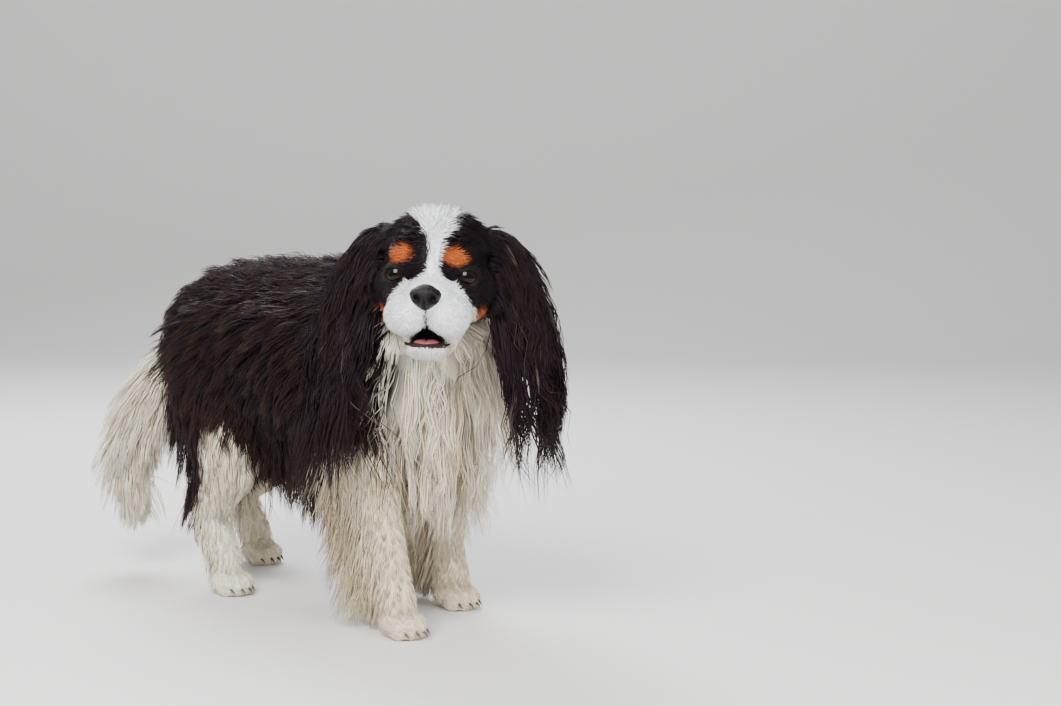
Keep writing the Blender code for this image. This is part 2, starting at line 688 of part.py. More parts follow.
class Coat:
    """The locks laid so far, each with the part that it grows from and its surface."""

    def __init__(self, parts, whole):
        self.skins = {name: skin_of(obj) for name, obj in parts.items()}
        self.whole = whole
        self.laid = []
        self.draw = random.Random(SEED)

    def owner(self, point):
        """The part whose skin lies nearest to a point."""
        return min(self.skins, key=lambda name: self.skins[name].find_nearest(point)[3])

    def line(self, root, normal, lie, lock, droop, own, name):
        """Points from under the skin, up through the coat and on along its lie."""
        others = [skin for other, skin in self.skins.items() if other != name]
        locks = [surface for other, _, surface in self.laid if other != name]
        lift = math.radians(lock.lift)
        heading = lie * math.cos(lift) + normal * math.sin(lift)
        sway = heading.cross(normal).normalized() * self.draw.uniform(-LOCK_WAVE, LOCK_WAVE)
        points = [root - normal * lock.sink]
        point = root
        steps = len(LOCK_SHAPE)
        for i in range(steps):
            point = point + heading * lock.length / steps
            point = pushed_out(point, own, lock.reach * min(1.0, (i + 1) / (steps - 1)))
            for skin in others:
                point = pushed_out(point, skin, lock.thickness + CLEAR)
            point = over_locks(point, own.find_nearest(point)[1], locks, lock.thickness)
            point.z = max(point.z, FLOOR_CLEAR + lock.thickness)
            points.append(point.copy())
            heading = (heading + DOWN * droop + sway * (-1) ** i).normalized()
        return points

    def clear(self, surface, name):
        """Whether a surface crosses nothing of any other part."""
        others = [skin for other, skin in self.skins.items() if other != name]
        others += [laid for other, _, laid in self.laid if other != name]
        return not any(surface.overlap(other) for other in others)

    def lay(self, kind, root, normal, lie, own=None, name=None, stretch=1.0):
        """One lock, lifted, turned and shortened until it is clear of all that other parts hold."""
        name = name or self.owner(root)
        own = own or self.whole
        droop = EAR_DROOP if kind.startswith("ear") else LOCK_DROOP
        lock = LOCKS[kind]
        length = lock.length * stretch * self.draw.uniform(0.92, 1.08)
        width = lock.width * self.draw.uniform(0.94, 1.06)
        reach = lock.reach + TIER * (len(self.laid) % 2)
        for attempt in range(LOCK_TRIES):
            shrink = 1 - TRY_SHRINK * attempt
            tried = lock._replace(length=length * shrink, width=width * shrink,
                                  lift=lock.lift + TRY_LIFT * attempt, reach=reach + TRY_RISE * attempt)
            turn = Matrix.Rotation(self.draw.uniform(-LOCK_TURN, LOCK_TURN) * (1 + attempt), 3, normal)
            points = self.line(root, normal, turn @ lie, tried, droop, own, name)
            room = lock_mesh(points, normal, tried.width + CLEAR, tried.thickness + CLEAR)
            surface = BVHTree.FromBMesh(room)
            room.free()
            if self.clear(surface, name):
                shape = lock_mesh(points, normal, tried.width, tried.thickness)
                self.laid.append((name, shape, surface))
                return

    def cast(self, kind, origin, direction, lie, skin=None, name=None, stretch=1.0):
        """One lock where a ray comes to a skin, from inside the body or towards it."""
        root, normal, *_ = (skin or self.whole).ray_cast(origin, direction)
        if root is not None:
            self.lay(kind, root, normal, along_skin(lie, normal), skin, name, stretch)

    def fuse(self, parts):
        """All the locks of each part joined to it."""
        for name, obj in parts.items():
            own = [bm for other, bm, _ in self.laid if other == name]
            if not own:
                continue
            locks = new_collection("locks_" + name)
            for bm in own:
                object_from(bm, "lock", locks)
            joined(obj, locks)
            bpy.data.collections.remove(locks)


# Rows of locks round the trunk, from the lowest to the highest: the angle from the spine, the
# lie as shares of rearward, downward and outward, and the first ring and step along the body.
TRUNK_ROWS = {
    "belly": (160, 0.50, 0.80, 0.30, 2, 2),
    "fringe": (128, 0.25, 1.00, 0.10, 0, 1),
    "flank": (104, 0.45, 0.95, 0.00, 0, 1),
    "side": (76, 0.70, 0.80, 0.00, 0, 1),
    "back": (45, 0.90, 0.50, 0.10, 0, 1),
    "spine": (14, 1.00, 0.10, 0.25, 0, 1),
}
TRUNK_SPAN = (0.020, 0.300)
TRUNK_RINGS = 6
FRINGE_STRETCH = (1.22, -0.66)
RUMP_Y = 0.285
RUMP_TURNS = ((24, -28), (-24, -28), (58, -12), (-58, -12), (32, 6), (-32, 6), (62, 28), (-62, 28))
BIB_Y = 0.015
BIB_ROWS = (
    ("bib", 0.175, (-60, -36, -12, 12, 36, 60), 0.84),
    ("bib", 0.205, (-72, -48, -24, 0, 24, 48, 72), 1.0),
    ("breast", 0.235, (-80, -56, -34, -12, 12, 34, 56, 80), 1.0),
)
NECK_ROWS = (
    (0.30, (-150, -110, -70, -30, 30, 70, 110, 150, 180)),
    (0.60, (-100, -60, -20, 20, 60, 100)),
    (0.80, (-165, -130, -90, -50, 50, 90, 130, 165)),
)
LEG_ROWS = {
    "fore": (("feather", 2.80, (-30, 30)), ("feather", 2.25, (-40, 0, 40)),
             ("feather", 1.65, (-44, 5, 50)), ("feather", 1.05, (-46, 0, 46))),
    "hind": (("hock", 4.35, (-20, 20)), ("hock", 3.75, (-25, 25)), ("breeches", 2.85, (-35, 25)),
             ("breeches", 2.00, (-95, -46, 0, 40)), ("breeches", 1.10, (-100, -62, -24, 20))),
}
TRAIL = {"fore": 0.60, "hind": 0.35}
PLUME_STATIONS = (3.70, 3.20, 2.70, 2.20, 1.75, 1.30)
PLUME_TURNS = (-125, -45, 45, 125)
PLUME_STAGGER = 35
PLUME_LEVEL = Vector((1, 0.35, 0))
EAR_ROWS = (
    ("ear_end", 5.2, (-0.5, 0.5)),
    ("ear_end", 4.4, (-0.8, 0.0, 0.8)),
    ("ear", 3.5, (-0.9, -0.3, 0.3, 0.9)),
    ("ear", 2.7, (-0.75, 0.05, 0.75)),
    ("ear", 2.05, (-0.45, 0.35)),
)


def along_rings(rings, place):
    """The point, the half width and the way ahead at a place along some rings."""
    i = min(int(place), len(rings) - 2)
    share = place - i
    centre = rings[i][0].lerp(rings[i + 1][0], share)
    width = rings[i][1] * (1 - share) + rings[i + 1][1] * share
    return centre, width, (rings[i + 1][0] - rings[i][0]).normalized()


def trunk_axis(y):
    """The middle of the trunk at a distance along the body."""
    rings = [torso_ring(name) for name in TORSO]
    for i, (before, after) in enumerate(zip(rings, rings[1:])):
        if before[0].y <= y <= after[0].y:
            return along_rings(rings, i + (y - before[0].y) / (after[0].y - before[0].y))[0]
    return rings[-1][0]


def trunk_coat(coat):
    """Back, flanks and belly with the fringe under them, from the rear to the front."""
    first, last = TRUNK_SPAN
    for row, (kind, (angle, rear, down, out, start, step)) in enumerate(TRUNK_ROWS.items()):
        for i in reversed(range(start, TRUNK_RINGS, step)):
            share = (i + 0.5 * (row % 2)) / (TRUNK_RINGS - 0.5)
            origin = trunk_axis(first + (last - first) * share - CENTRE.y)
            stretch = FRINGE_STRETCH[0] + FRINGE_STRETCH[1] * share if kind == "fringe" else 1.0
            for side in SIDES.values():
                a = math.radians(angle + coat.draw.uniform(-4, 4))
                direction = Vector((math.sin(a) * side, 0, math.cos(a)))
                coat.cast(kind, origin, direction, Vector((out * side, rear, -down)), stretch=stretch)


def rump_coat(coat):
    """Locks that hang down behind, on both sides of the tail's root."""
    origin = trunk_axis(RUMP_Y - CENTRE.y)
    for turn, rise in RUMP_TURNS:
        a, b = math.radians(turn), math.radians(rise)
        direction = Vector((math.sin(a) * math.cos(b), math.cos(a) * math.cos(b), math.sin(b)))
        coat.cast("rump", origin, direction, DOWN + REAR * 0.25)


def breast_coat(coat):
    """The bib: long locks that hang from the breast in front of the fore legs."""
    for kind, height, turns, stretch in BIB_ROWS:
        origin = Vector((0, BIB_Y, height)) - CENTRE
        for turn in turns:
            a = math.radians(turn)
            coat.cast(kind, origin, Vector((math.sin(a), -math.cos(a), 0)), DOWN, stretch=stretch)


def neck_coat(coat):
    """The neck's locks: back over the shoulders above, and down in a ruff at the throat."""
    rings = limb_rings(NECK, 0)
    forward = (rings[-1][0] - rings[0][0]).normalized()
    level = forward.cross(-DOWN).normalized()
    up = level.cross(forward)
    for share, turns in NECK_ROWS:
        origin = rings[0][0].lerp(rings[-1][0], share)
        for turn in turns:
            a = math.radians(turn)
            kind = "ruff" if abs(turn) > 85 else "neck"
            lie = DOWN - forward * (0.9 + 0.9 * math.cos(a))
            coat.cast(kind, origin, up * math.cos(a) + level * math.sin(a), lie)


def leg_coat(coat, pair, side):
    """Feathers down the back of one leg."""
    rings = leg_rings(pair, side)
    for kind, place, turns in LEG_ROWS[pair]:
        origin, *_ = along_rings(rings, place)
        for turn in turns:
            a = math.radians(turn) * side
            direction = Vector((-math.sin(a), math.cos(a), 0))
            coat.cast(kind, origin, direction, DOWN + REAR * TRAIL[pair])


def ear_coat(coat, name, side):
    """The ear's fringe: wavy locks down its outer face and edges, longest at its end."""
    rings, across, _ = ear_rings(side)
    skin = coat.skins[name]
    for kind, place, shares in EAR_ROWS:
        centre, width, along = along_rings(rings, place)
        level = along_skin(across, along)
        outward = along.cross(level).normalized() * side
        for share in shares:
            start = centre + level * width * share + outward * NEAR
            lie = along + DOWN * 0.5 + level * share * 0.25
            coat.cast(kind, start, -outward, lie, skin, name)


def tail_coat(coat):
    """The tail's plume: locks that spread all round and droop towards its tip."""
    rings = limb_rings(TAIL, 0)
    for row, place in enumerate(PLUME_STATIONS):
        origin, _, forward = along_rings(rings, place)
        level = along_skin(PLUME_LEVEL, forward)
        outer = forward.cross(level)
        kind = "plume_end" if row < 2 else "plume"
        for turn in PLUME_TURNS:
            a = math.radians(turn + PLUME_STAGGER * (row % 2))
            direction = outer * math.cos(a) + level * math.sin(a)
            coat.cast(kind, origin, direction, forward + DOWN * 0.3, coat.skins["tail"], "tail")


def dress(parts, whole):
    """The long coat laid from the lowest locks to the highest and fused to its parts."""
    coat = Coat(parts, whole)
    for side in SIDES.values():
        for pair in ("fore", "hind"):
            leg_coat(coat, pair, side)
    tail_coat(coat)
    rump_coat(coat)
    trunk_coat(coat)
    breast_coat(coat)
    neck_coat(coat)
    for word, side in SIDES.items():
        ear_coat(coat, "ear_" + word, side)
    coat.fuse(parts)


# The finish of each part: colour, roughness and metallic value.
BLACK_COAT = ((0.030, 0.024, 0.022), 0.62, 0.0)
WHITE_COAT = ((0.780, 0.730, 0.660), 0.70, 0.0)
FINISHES = {
    "torso": BLACK_COAT,
    "neck": BLACK_COAT,
    "ear_right": BLACK_COAT,
    "ear_left": BLACK_COAT,
    "head": WHITE_COAT,
    "tail": WHITE_COAT,
    "leg_fore_right": WHITE_COAT,
    "leg_fore_left": WHITE_COAT,
    "leg_hind_right": WHITE_COAT,
    "leg_hind_left": WHITE_COAT,
    "eye_right": ((0.030, 0.014, 0.008), 0.08, 0.0),
    "eye_left": ((0.030, 0.014, 0.008), 0.08, 0.0),
    "nose": ((0.016, 0.014, 0.014), 0.35, 0.0),
    "tongue": ((0.560, 0.210, 0.200), 0.40, 0.0),
}


def finish(obj, name):
    """The part's name, material and smooth shading."""
    colour, roughness, metallic = FINISHES[name]
    material = bpy.data.materials.new(name)
    material.use_nodes = True
    shader = material.node_tree.nodes["Principled BSDF"]
    shader.inputs["Base Color"].default_value = (*colour, 1)
    shader.inputs["Roughness"].default_value = roughness
    shader.inputs["Metallic"].default_value = metallic
    obj.name = name
    obj.data.name = name
    obj.data.materials.clear()
    obj.data.materials.append(material)
    obj.data.shade_smooth()
    obj.data.set_sharp_from_angle(angle=math.radians(40))


def main():
    clear_scene()
    dog = new_collection("spaniel")
    cutters = new_collection("cutters", hidden=True)
    flesh = body_flesh(dog, cutters)
    whole = skin_of(flesh)
    parts = part_body(flesh, dog, cutters)
    parts.update(part_head(head_flesh(dog, cutters), dog, cutters))
    parts.update(small_parts(dog, cutters))
    dress(parts, whole)
    for name, obj in parts.items():
        finish(obj, name)


main()
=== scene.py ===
"""A life-size toy spaniel in its long tricolour coat, standing still as in a museum.

One skin carries the whole body. Combed hair grows from it in tufts, and the eyes, lids, nose,
tongue, claws and whiskers are pieces of their own. Metres, +Z up, the body faces -Y.
"""

import math

import bmesh
import bpy
import numpy as np
from mathutils import Matrix, Vector
from mathutils.bvhtree import BVHTree
from mathutils.kdtree import KDTree


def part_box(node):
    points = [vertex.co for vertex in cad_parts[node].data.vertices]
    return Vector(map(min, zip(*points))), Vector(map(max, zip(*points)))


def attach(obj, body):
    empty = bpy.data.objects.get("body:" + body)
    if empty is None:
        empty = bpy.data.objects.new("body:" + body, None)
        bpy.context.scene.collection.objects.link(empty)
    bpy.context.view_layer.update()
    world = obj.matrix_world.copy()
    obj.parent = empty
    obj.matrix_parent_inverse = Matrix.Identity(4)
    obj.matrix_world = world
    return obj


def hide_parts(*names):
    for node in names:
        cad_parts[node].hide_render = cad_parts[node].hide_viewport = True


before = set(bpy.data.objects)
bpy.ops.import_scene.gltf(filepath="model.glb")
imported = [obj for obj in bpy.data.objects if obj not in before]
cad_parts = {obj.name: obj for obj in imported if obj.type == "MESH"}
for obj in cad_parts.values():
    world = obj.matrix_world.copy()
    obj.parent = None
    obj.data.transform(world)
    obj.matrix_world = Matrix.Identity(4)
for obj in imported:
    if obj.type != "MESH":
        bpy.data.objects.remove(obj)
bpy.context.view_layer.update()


# The stance. The dog stands on four paws with its body along Y and looks round to its right.
# All places are measured from the floor between the fore paws. The eyes of the frame tell
# where that point lies, and they carry the head's own axes: -Y to the nose, +X to its left.
RIGHT, LEFT = -1, 1
SIDES = {"right": RIGHT, "left": LEFT}
UP = Vector((0, 0, 1))
DOWN = Vector((0, 0, -1))
REAR = Vector((0, 1, 0))

EYE_RADIUS = 0.0105
EYE_AT = (0.0300, -0.0345, -0.0065)
EYE_LOOK = (0.22, -0.975, 0.03)
EYE_OPENING = (0.0090, 0.0065)
HEAD_AT = Vector((-0.0432, -0.0683, 0.333))
HEAD_TURN = Matrix.Rotation(math.radians(-48.7), 4, "Z")
HEAD_NOD = Matrix.Rotation(math.radians(-2.0), 4, "X")
HEAD_TILT = Matrix.Rotation(math.radians(2.0), 4, "Y")
HEAD_WAY = HEAD_TURN @ HEAD_NOD @ HEAD_TILT

eye_boxes = [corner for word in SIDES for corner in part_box("eye_" + word)]
eyes_middle = sum(eye_boxes, Vector()) / len(eye_boxes)
STANCE = eyes_middle - HEAD_AT - HEAD_WAY @ Vector((0, EYE_AT[1], EYE_AT[2]))
HEAD = Matrix.Translation(HEAD_AT + STANCE) @ HEAD_WAY


def in_head(point, side=LEFT):
    """A point of the head's left half, or its twin on the right."""
    return HEAD @ Vector((point[0] * side, point[1], point[2]))


def head_way(direction, side=LEFT):
    """A direction in the head's axes, or its twin."""
    return HEAD.to_3x3() @ Vector((direction[0] * side, direction[1], direction[2]))


# The flesh: the trunk, neck, legs, tail and ears are tubes through oval rings, and the head and
# the paws are balls of muscle, bone and fat. All of it is fused into one smooth skin.
WITHERS = 0.322
BODY_LENGTH = 0.388
CHEST_WIDTH = 0.160
BREAST_Y = -0.055

# Along the body, top and bottom in shares of the withers, half width in shares of the chest.
TORSO = {
    "breast": (0.00, 0.73, 0.55, 0.19),
    "forechest": (0.05, 0.84, 0.49, 0.34),
    "shoulders": (0.14, 0.97, 0.46, 0.44),
    "withers": (0.27, 1.00, 0.455, 0.480),
    "ribs": (0.43, 0.995, 0.46, 0.500),
    "flank": (0.59, 0.990, 0.485, 0.490),
    "loin": (0.74, 0.980, 0.53, 0.450),
    "hips": (0.84, 0.955, 0.57, 0.425),
    "croup": (0.93, 0.890, 0.60, 0.33),
    "buttock": (1.00, 0.79, 0.64, 0.20),
}

# Joints of the limbs: x for a left limb, y, z, half width and half depth.
NECK = (
    (0.000, 0.030, 0.262, 0.062, 0.058),
    (-0.020, -0.020, 0.288, 0.055, 0.050),
    (-0.036, -0.046, 0.318, 0.046, 0.044),
)
FORE_LEG = (
    (0.048, 0.010, 0.235, 0.030, 0.040),
    (0.054, 0.022, 0.165, 0.0215, 0.026),
    (0.056, 0.012, 0.110, 0.0165, 0.019),
    (0.057, 0.004, 0.058, 0.0145, 0.0155),
    (0.057, -0.003, 0.030, 0.0150, 0.0160),
)
HIND_LEG = (
    (0.040, 0.055, 0.245, 0.034, 0.050),
    (0.050, 0.035, 0.190, 0.032, 0.048),
    (0.056, 0.018, 0.142, 0.026, 0.033),
    (0.057, 0.036, 0.105, 0.018, 0.022),
    (0.057, 0.052, 0.072, 0.0125, 0.0150),
    (0.057, 0.030, 0.034, 0.0130, 0.0140),
)
TAIL = (
    (0.000, 0.300, 0.255, 0.022, 0.022),
    (-0.007, 0.347, 0.230, 0.015, 0.015),
    (-0.028, 0.380, 0.188, 0.011, 0.011),
    (-0.048, 0.394, 0.142, 0.009, 0.009),
    (-0.056, 0.390, 0.100, 0.006, 0.006),
)
FORE_STEP = {RIGHT: -0.026, LEFT: 0.026}
HIND_TOP = 0.205
HIND_STEP = {RIGHT: 0.196, LEFT: 0.296}
UPPER_SHARE = 1.25

# Paws: a pad and four knuckled toes.
PAW = Vector((0.038, 0.046, 0.026))
TOES = ((-1.5, 0.16), (-0.5, 0.30), (0.5, 0.30), (1.5, 0.16))

# The head: the middle and the radii of each mass, in its own axes.
HEAD_MASSES = (
    ((0, 0.002, 0.004), (0.0450, 0.0520, 0.0455)),
    ((0, 0.030, -0.016), (0.0380, 0.0320, 0.0360)),
    ((0, -0.050, -0.0265), (0.0240, 0.0310, 0.0190)),
    ((0, -0.022, -0.048), (0.0290, 0.0400, 0.0200)),
    ((0, -0.056, -0.0670), (0.0175, 0.0170, 0.0090)),
)
PAIRED_MASSES = (
    ((0.0240, 0.0040, 0.0130), (0.0220, 0.0300, 0.0245)),
    ((0.028, -0.006, -0.018), (0.0230, 0.0350, 0.0270)),
    ((0.0225, -0.0290, 0.0135), (0.0150, 0.0145, 0.0125)),
    ((0.0240, -0.0390, -0.0240), (0.0160, 0.0180, 0.0120)),
    ((0.0180, -0.0600, -0.0395), (0.0185, 0.0200, 0.0170)),
)
LID_DEPTH = 0.0017

# The ear hangs from high on the skull: middle, half width, half thickness and cup.
EAR = (
    ((0.030, 0.010, 0.022), 0.018, 0.0080, 0.0),
    ((0.043, 0.009, 0.022), 0.020, 0.0070, 0.2),
    ((0.055, 0.009, 0.009), 0.024, 0.0050, 0.6),
    ((0.064, 0.009, -0.013), 0.028, 0.0042, 1.0),
    ((0.072, 0.007, -0.041), 0.030, 0.0040, 0.9),
    ((0.079, 0.003, -0.068), 0.026, 0.0038, 0.6),
    ((0.082, -0.001, -0.090), 0.014, 0.0035, 0.3),
)
EAR_ACROSS = (0.85, 0.53, 0.0)


def limb_rings(joints, side=LEFT, step=0.0, top=None):
    """Rings of a limb on one side, moved along the body by step, and at its root by top."""
    rings = []
    for i, (x, y, z, half_width, half_depth) in enumerate(joints):
        moved = step
        if top is not None:
            moved = top + (step - top) * min(1, i / (len(joints) - 1) * UPPER_SHARE)
        rings.append((Vector((x * side, y + moved, z)) + STANCE, half_width, half_depth))
    return rings


def eased(rings, parts=4):
    """The same tube with rings between its joints, on a smooth curve through them."""
    rows = np.array([(*centre, half_width, half_depth) for centre, half_width, half_depth in rings])
    count = len(rows)
    slopes = np.gradient(rows, axis=0)
    smooth = []
    for i in range(count - 1):
        for t in np.arange(parts) / parts:
            a, b = 2 * t**3 - 3 * t**2 + 1, t**3 - 2 * t**2 + t
            c, d = 3 * t**2 - 2 * t**3, t**3 - t**2
            smooth.append(a * rows[i] + b * slopes[i] + c * rows[i + 1] + d * slopes[i + 1])
    smooth.append(rows[-1])
    return [(Vector(row[:3]), row[3], row[4]) for row in smooth]


def leg_rings(pair, side):
    """Rings of one leg of the fore or the hind pair."""
    if pair == "fore":
        return limb_rings(FORE_LEG, side, FORE_STEP[side], 0.0)
    return limb_rings(HIND_LEG, side, HIND_STEP[side], HIND_TOP)


def trunk_rings():
    """Rings of the trunk from the breast to the buttocks."""
    rings = []
    for along, top, bottom, half_width in TORSO.values():
        centre = Vector((0, BREAST_Y + along * BODY_LENGTH, (top + bottom) / 2 * WITHERS))
        rings.append((centre + STANCE, half_width * CHEST_WIDTH, (top - bottom) / 2 * WITHERS))
    return rings


def ear_rings(side):
    """Rings of one ear."""
    return [(in_head(centre, side), width, thick) for centre, width, thick, _ in EAR]


def add_tube(bm, rings, across=Vector((1, 0, 0)), segments=24, cups=None):
    """A closed tube of oval rings. A cup bends the two edges of a ring to one side."""
    centres = [ring[0] for ring in rings]
    loops = []
    for i, (centre, half_width, half_depth) in enumerate(rings):
        forward = (centres[min(i + 1, len(rings) - 1)] - centres[max(i - 1, 0)]).normalized()
        side = (across - forward * across.dot(forward)).normalized()
        turn = Matrix((side, forward.cross(side), forward)).transposed().to_4x4()
        place = Matrix.Translation(centre) @ turn @ Matrix.Diagonal((half_width, half_depth, 1, 1))
        at_end = i in (0, len(rings) - 1)
        made = bmesh.ops.create_circle(bm, segments=segments, radius=1, cap_ends=at_end)
        cup = cups[i] if cups else 0.0
        for vert in made["verts"]:
            vert.co = place @ Vector((vert.co.x, vert.co.y + cup * vert.co.x ** 2, 0))
        loops.append(list({e for v in made["verts"] for e in v.link_edges if len(e.link_faces) < 2}))
    for before, after in zip(loops, loops[1:]):
        bmesh.ops.bridge_loops(bm, edges=before + after)


def add_ball(bm, centre, radii, place=Matrix.Identity(4), segments=32, rings=20):
    """An ellipsoid in a frame of its own."""
    place = place @ Matrix.Translation(centre) @ Matrix.Diagonal((*radii, 1))
    bmesh.ops.create_uvsphere(bm, u_segments=segments, v_segments=rings, radius=1, matrix=place)


def paw_place(pair, side):
    """The point on the floor under the middle of a paw."""
    foot = leg_rings(pair, side)[-1][0]
    return Vector((foot.x, foot.y - PAW.y * 0.16, 0))


def toe_places(pair, side):
    """The middle of each toe of a paw."""
    at = paw_place(pair, side)
    return [at + Vector((across * PAW.x * 0.22, -PAW.y * ahead, PAW.z * 0.36)) for across, ahead in TOES]


def object_from(bm, name):
    """The bmesh as an object of that name, its faces turned outwards."""
    bmesh.ops.recalc_face_normals(bm, faces=bm.faces)
    mesh = bpy.data.meshes.new(name)
    bm.to_mesh(mesh)
    bm.free()
    obj = bpy.data.objects.new(name, mesh)
    bpy.context.scene.collection.objects.link(obj)
    return obj


def applied(obj):
    """The object with its modifiers made part of its mesh."""
    graph = bpy.context.evaluated_depsgraph_get()
    mesh = bpy.data.meshes.new_from_object(obj.evaluated_get(graph))
    obj.modifiers.clear()
    obj.data = mesh
    return obj


def carved(obj, bm):
    """The object with a closed shape cut out of it."""
    cutter = object_from(bm, "cutter")
    cut = obj.modifiers.new("cut", "BOOLEAN")
    cut.operation = "DIFFERENCE"
    cut.object = cutter
    cut.solver = "MANIFOLD"
    applied(obj)
    bpy.data.objects.remove(cutter)
    return obj


SKIN_VOXEL = 0.0020
SKIN_SMOOTHING = 5
BODY_KEEP = 0.42

flesh = bmesh.new()
add_tube(flesh, eased(trunk_rings()), segments=32)
add_tube(flesh, eased(limb_rings(NECK)))
add_tube(flesh, eased(limb_rings(TAIL)))
for side in SIDES.values():
    for pair in ("fore", "hind"):
        rings = leg_rings(pair, side)
        foot, half_width, half_depth = rings[-1]
        ankle = (Vector((foot.x, foot.y, PAW.z * 0.45)), half_width, half_depth)
        add_tube(flesh, eased(rings + [ankle]))
        pad = paw_place(pair, side) + Vector((0, 0.004, PAW.z * 0.5))
        add_ball(flesh, pad, (PAW.x * 0.48, PAW.y * 0.42, PAW.z * 0.50))
        for toe in toe_places(pair, side):
            add_ball(flesh, toe, (PAW.x * 0.17, PAW.y * 0.21, PAW.z * 0.40), segments=16, rings=10)
    across = Vector(head_way((EAR_ACROSS[0] * side, EAR_ACROSS[1], EAR_ACROSS[2])))
    cups = np.interp(np.linspace(0, 6, 25), range(7), [cup * side for *_, cup in EAR])
    add_tube(flesh, eased(ear_rings(side)), across, cups=list(cups))
    add_ball(flesh, in_head(EYE_AT, side), [EYE_RADIUS + LID_DEPTH] * 3)
    for (x, y, z), radii in PAIRED_MASSES:
        add_ball(flesh, (x * side, y, z), radii, HEAD)
for centre, radii in HEAD_MASSES:
    add_ball(flesh, centre, radii, HEAD)
skin = object_from(flesh, "skin")
join = skin.modifiers.new("join", "REMESH")
join.mode = "VOXEL"
join.voxel_size = SKIN_VOXEL
even = skin.modifiers.new("even", "SMOOTH")
even.factor = 0.5
even.iterations = SKIN_SMOOTHING
applied(skin)


def points_of(obj):
    """The vertices of an object as an array."""
    mesh = obj.data
    points = np.empty(len(mesh.vertices) * 3, np.float32)
    mesh.vertices.foreach_get("co", points)
    return points.reshape(-1, 3).astype(float)


def to_head(points):
    """Points in the head's own axes."""
    back = np.array(HEAD.inverted())
    return points @ back[:3, :3].T + back[:3, 3]


# The face keeps the fine mesh that the fused flesh has. Behind the ears it is thinned out.
FACE_BACK = 0.055
head_points = to_head(points_of(skin))
face = (np.abs(head_points[:, 0]) < 0.062) & (head_points[:, 1] < FACE_BACK) & (head_points[:, 2] > -0.085)
group = skin.vertex_groups.new(name="body")
group.add([int(i) for i in np.flatnonzero(~face)], 1.0, "REPLACE")
thin = skin.modifiers.new("thin", "DECIMATE")
thin.ratio = BODY_KEEP
thin.vertex_group = "body"
applied(skin)
skin.vertex_groups.clear()


# The eyes' sockets and the mouth are open. The mouth is a low arch between the lips, highest in
# the middle under the nose: a point of its line, half depth and half height, from the corner in.
MOUTH = (
    (0.0290, -0.0460, -0.0615, 0.0060, 0.0006),
    (0.0235, -0.0545, -0.0618, 0.0100, 0.0010),
    (0.0160, -0.0630, -0.0612, 0.0160, 0.0015),
    (0.0080, -0.0680, -0.0585, 0.0200, 0.0036),
    (0.0000, -0.0690, -0.0545, 0.0210, 0.0062),
)


def eye_axes(side):
    """The middle of an eye, and its ways across, up and out."""
    out = head_way(EYE_LOOK, side).normalized()
    across = head_way((1, 0, 0))
    across = (across - out * across.dot(out)).normalized()
    return in_head(EYE_AT, side), across, out.cross(across), out


for side in SIDES.values():
    centre, across, up, out = eye_axes(side)
    ball = bmesh.new()
    add_ball(ball, centre, [EYE_RADIUS + 0.0004] * 3)
    carved(skin, ball)
    opening = bmesh.new()
    width, height = (half * 1.10 for half in EYE_OPENING)
    ends = [(centre, width, height), (centre + out * EYE_RADIUS * 2, width, height)]
    add_tube(opening, ends, across, 24)
    carved(skin, opening)
gap = bmesh.new()
lip_line = [(-x, *rest) for x, *rest in MOUTH[:-1]] + list(MOUTH[::-1])
lip_rings = [(in_head((x, y, z)), depth, height) for x, y, z, depth, height in lip_line]
add_tube(gap, lip_rings, head_way((0, 1, 0)), 12)
carved(skin, gap)


# Furrows of the face: the stop between the eyes, the groove under the nose, and the cushions
# of the upper lip that the whiskers grow from.
def bump_of(points, at, spread):
    """How near each point lies to a place, from one there to nothing."""
    return np.exp(-((((points - at) / spread) ** 2).sum(1)))


skin.data.update()
head_points = to_head(points_of(skin))
normals = np.array([tuple(v.normal) for v in skin.data.vertices])
push = np.zeros(len(normals))
push -= 0.0022 * bump_of(head_points, (0.001, -0.045, 0.010), (0.0045, 0.014, 0.016))
push -= 0.0016 * bump_of(head_points, (0.0, -0.083, -0.036), (0.0014, 0.012, 0.010))
for side in SIDES.values():
    push += 0.0018 * bump_of(head_points, (0.0150 * side, -0.072, -0.033), (0.009, 0.010, 0.009))
    push += 0.0012 * bump_of(head_points, (0.0310 * side, -0.046, -0.0135), (0.009, 0.008, 0.0035))
moved = points_of(skin) + normals * push[:, None]
skin.data.vertices.foreach_set("co", moved.astype(np.float32).ravel())
skin.data.update()
skin_tree = BVHTree.FromPolygons([v.co for v in skin.data.vertices], [tuple(p.vertices) for p in skin.data.polygons])


# The places on the body. Each part is a tube of its rings, or the head: a point's place along
# the rings, its turn round them, and how far off it is, tell the part it belongs to.
PARTS = ["torso", "neck", "tail"]
PARTS += [f"leg_{pair}_{word}" for pair in ("fore", "hind") for word in SIDES]
PARTS += ["ear_right", "ear_left", "head"]
part_rings = {"torso": trunk_rings(), "neck": limb_rings(NECK), "tail": limb_rings(TAIL)}
part_across = {name: Vector((1, 0, 0)) for name in PARTS}
for word, side in SIDES.items():
    for pair in ("fore", "hind"):
        part_rings[f"leg_{pair}_{word}"] = leg_rings(pair, side)
    part_rings["ear_" + word] = ear_rings(side)
    part_across["ear_" + word] = head_way((EAR_ACROSS[0] * side, EAR_ACROSS[1], EAR_ACROSS[2]))


def unit(vectors):
    """Rows of vectors at length one."""
    return vectors / np.maximum(np.linalg.norm(vectors, axis=-1, keepdims=True), 1e-9)


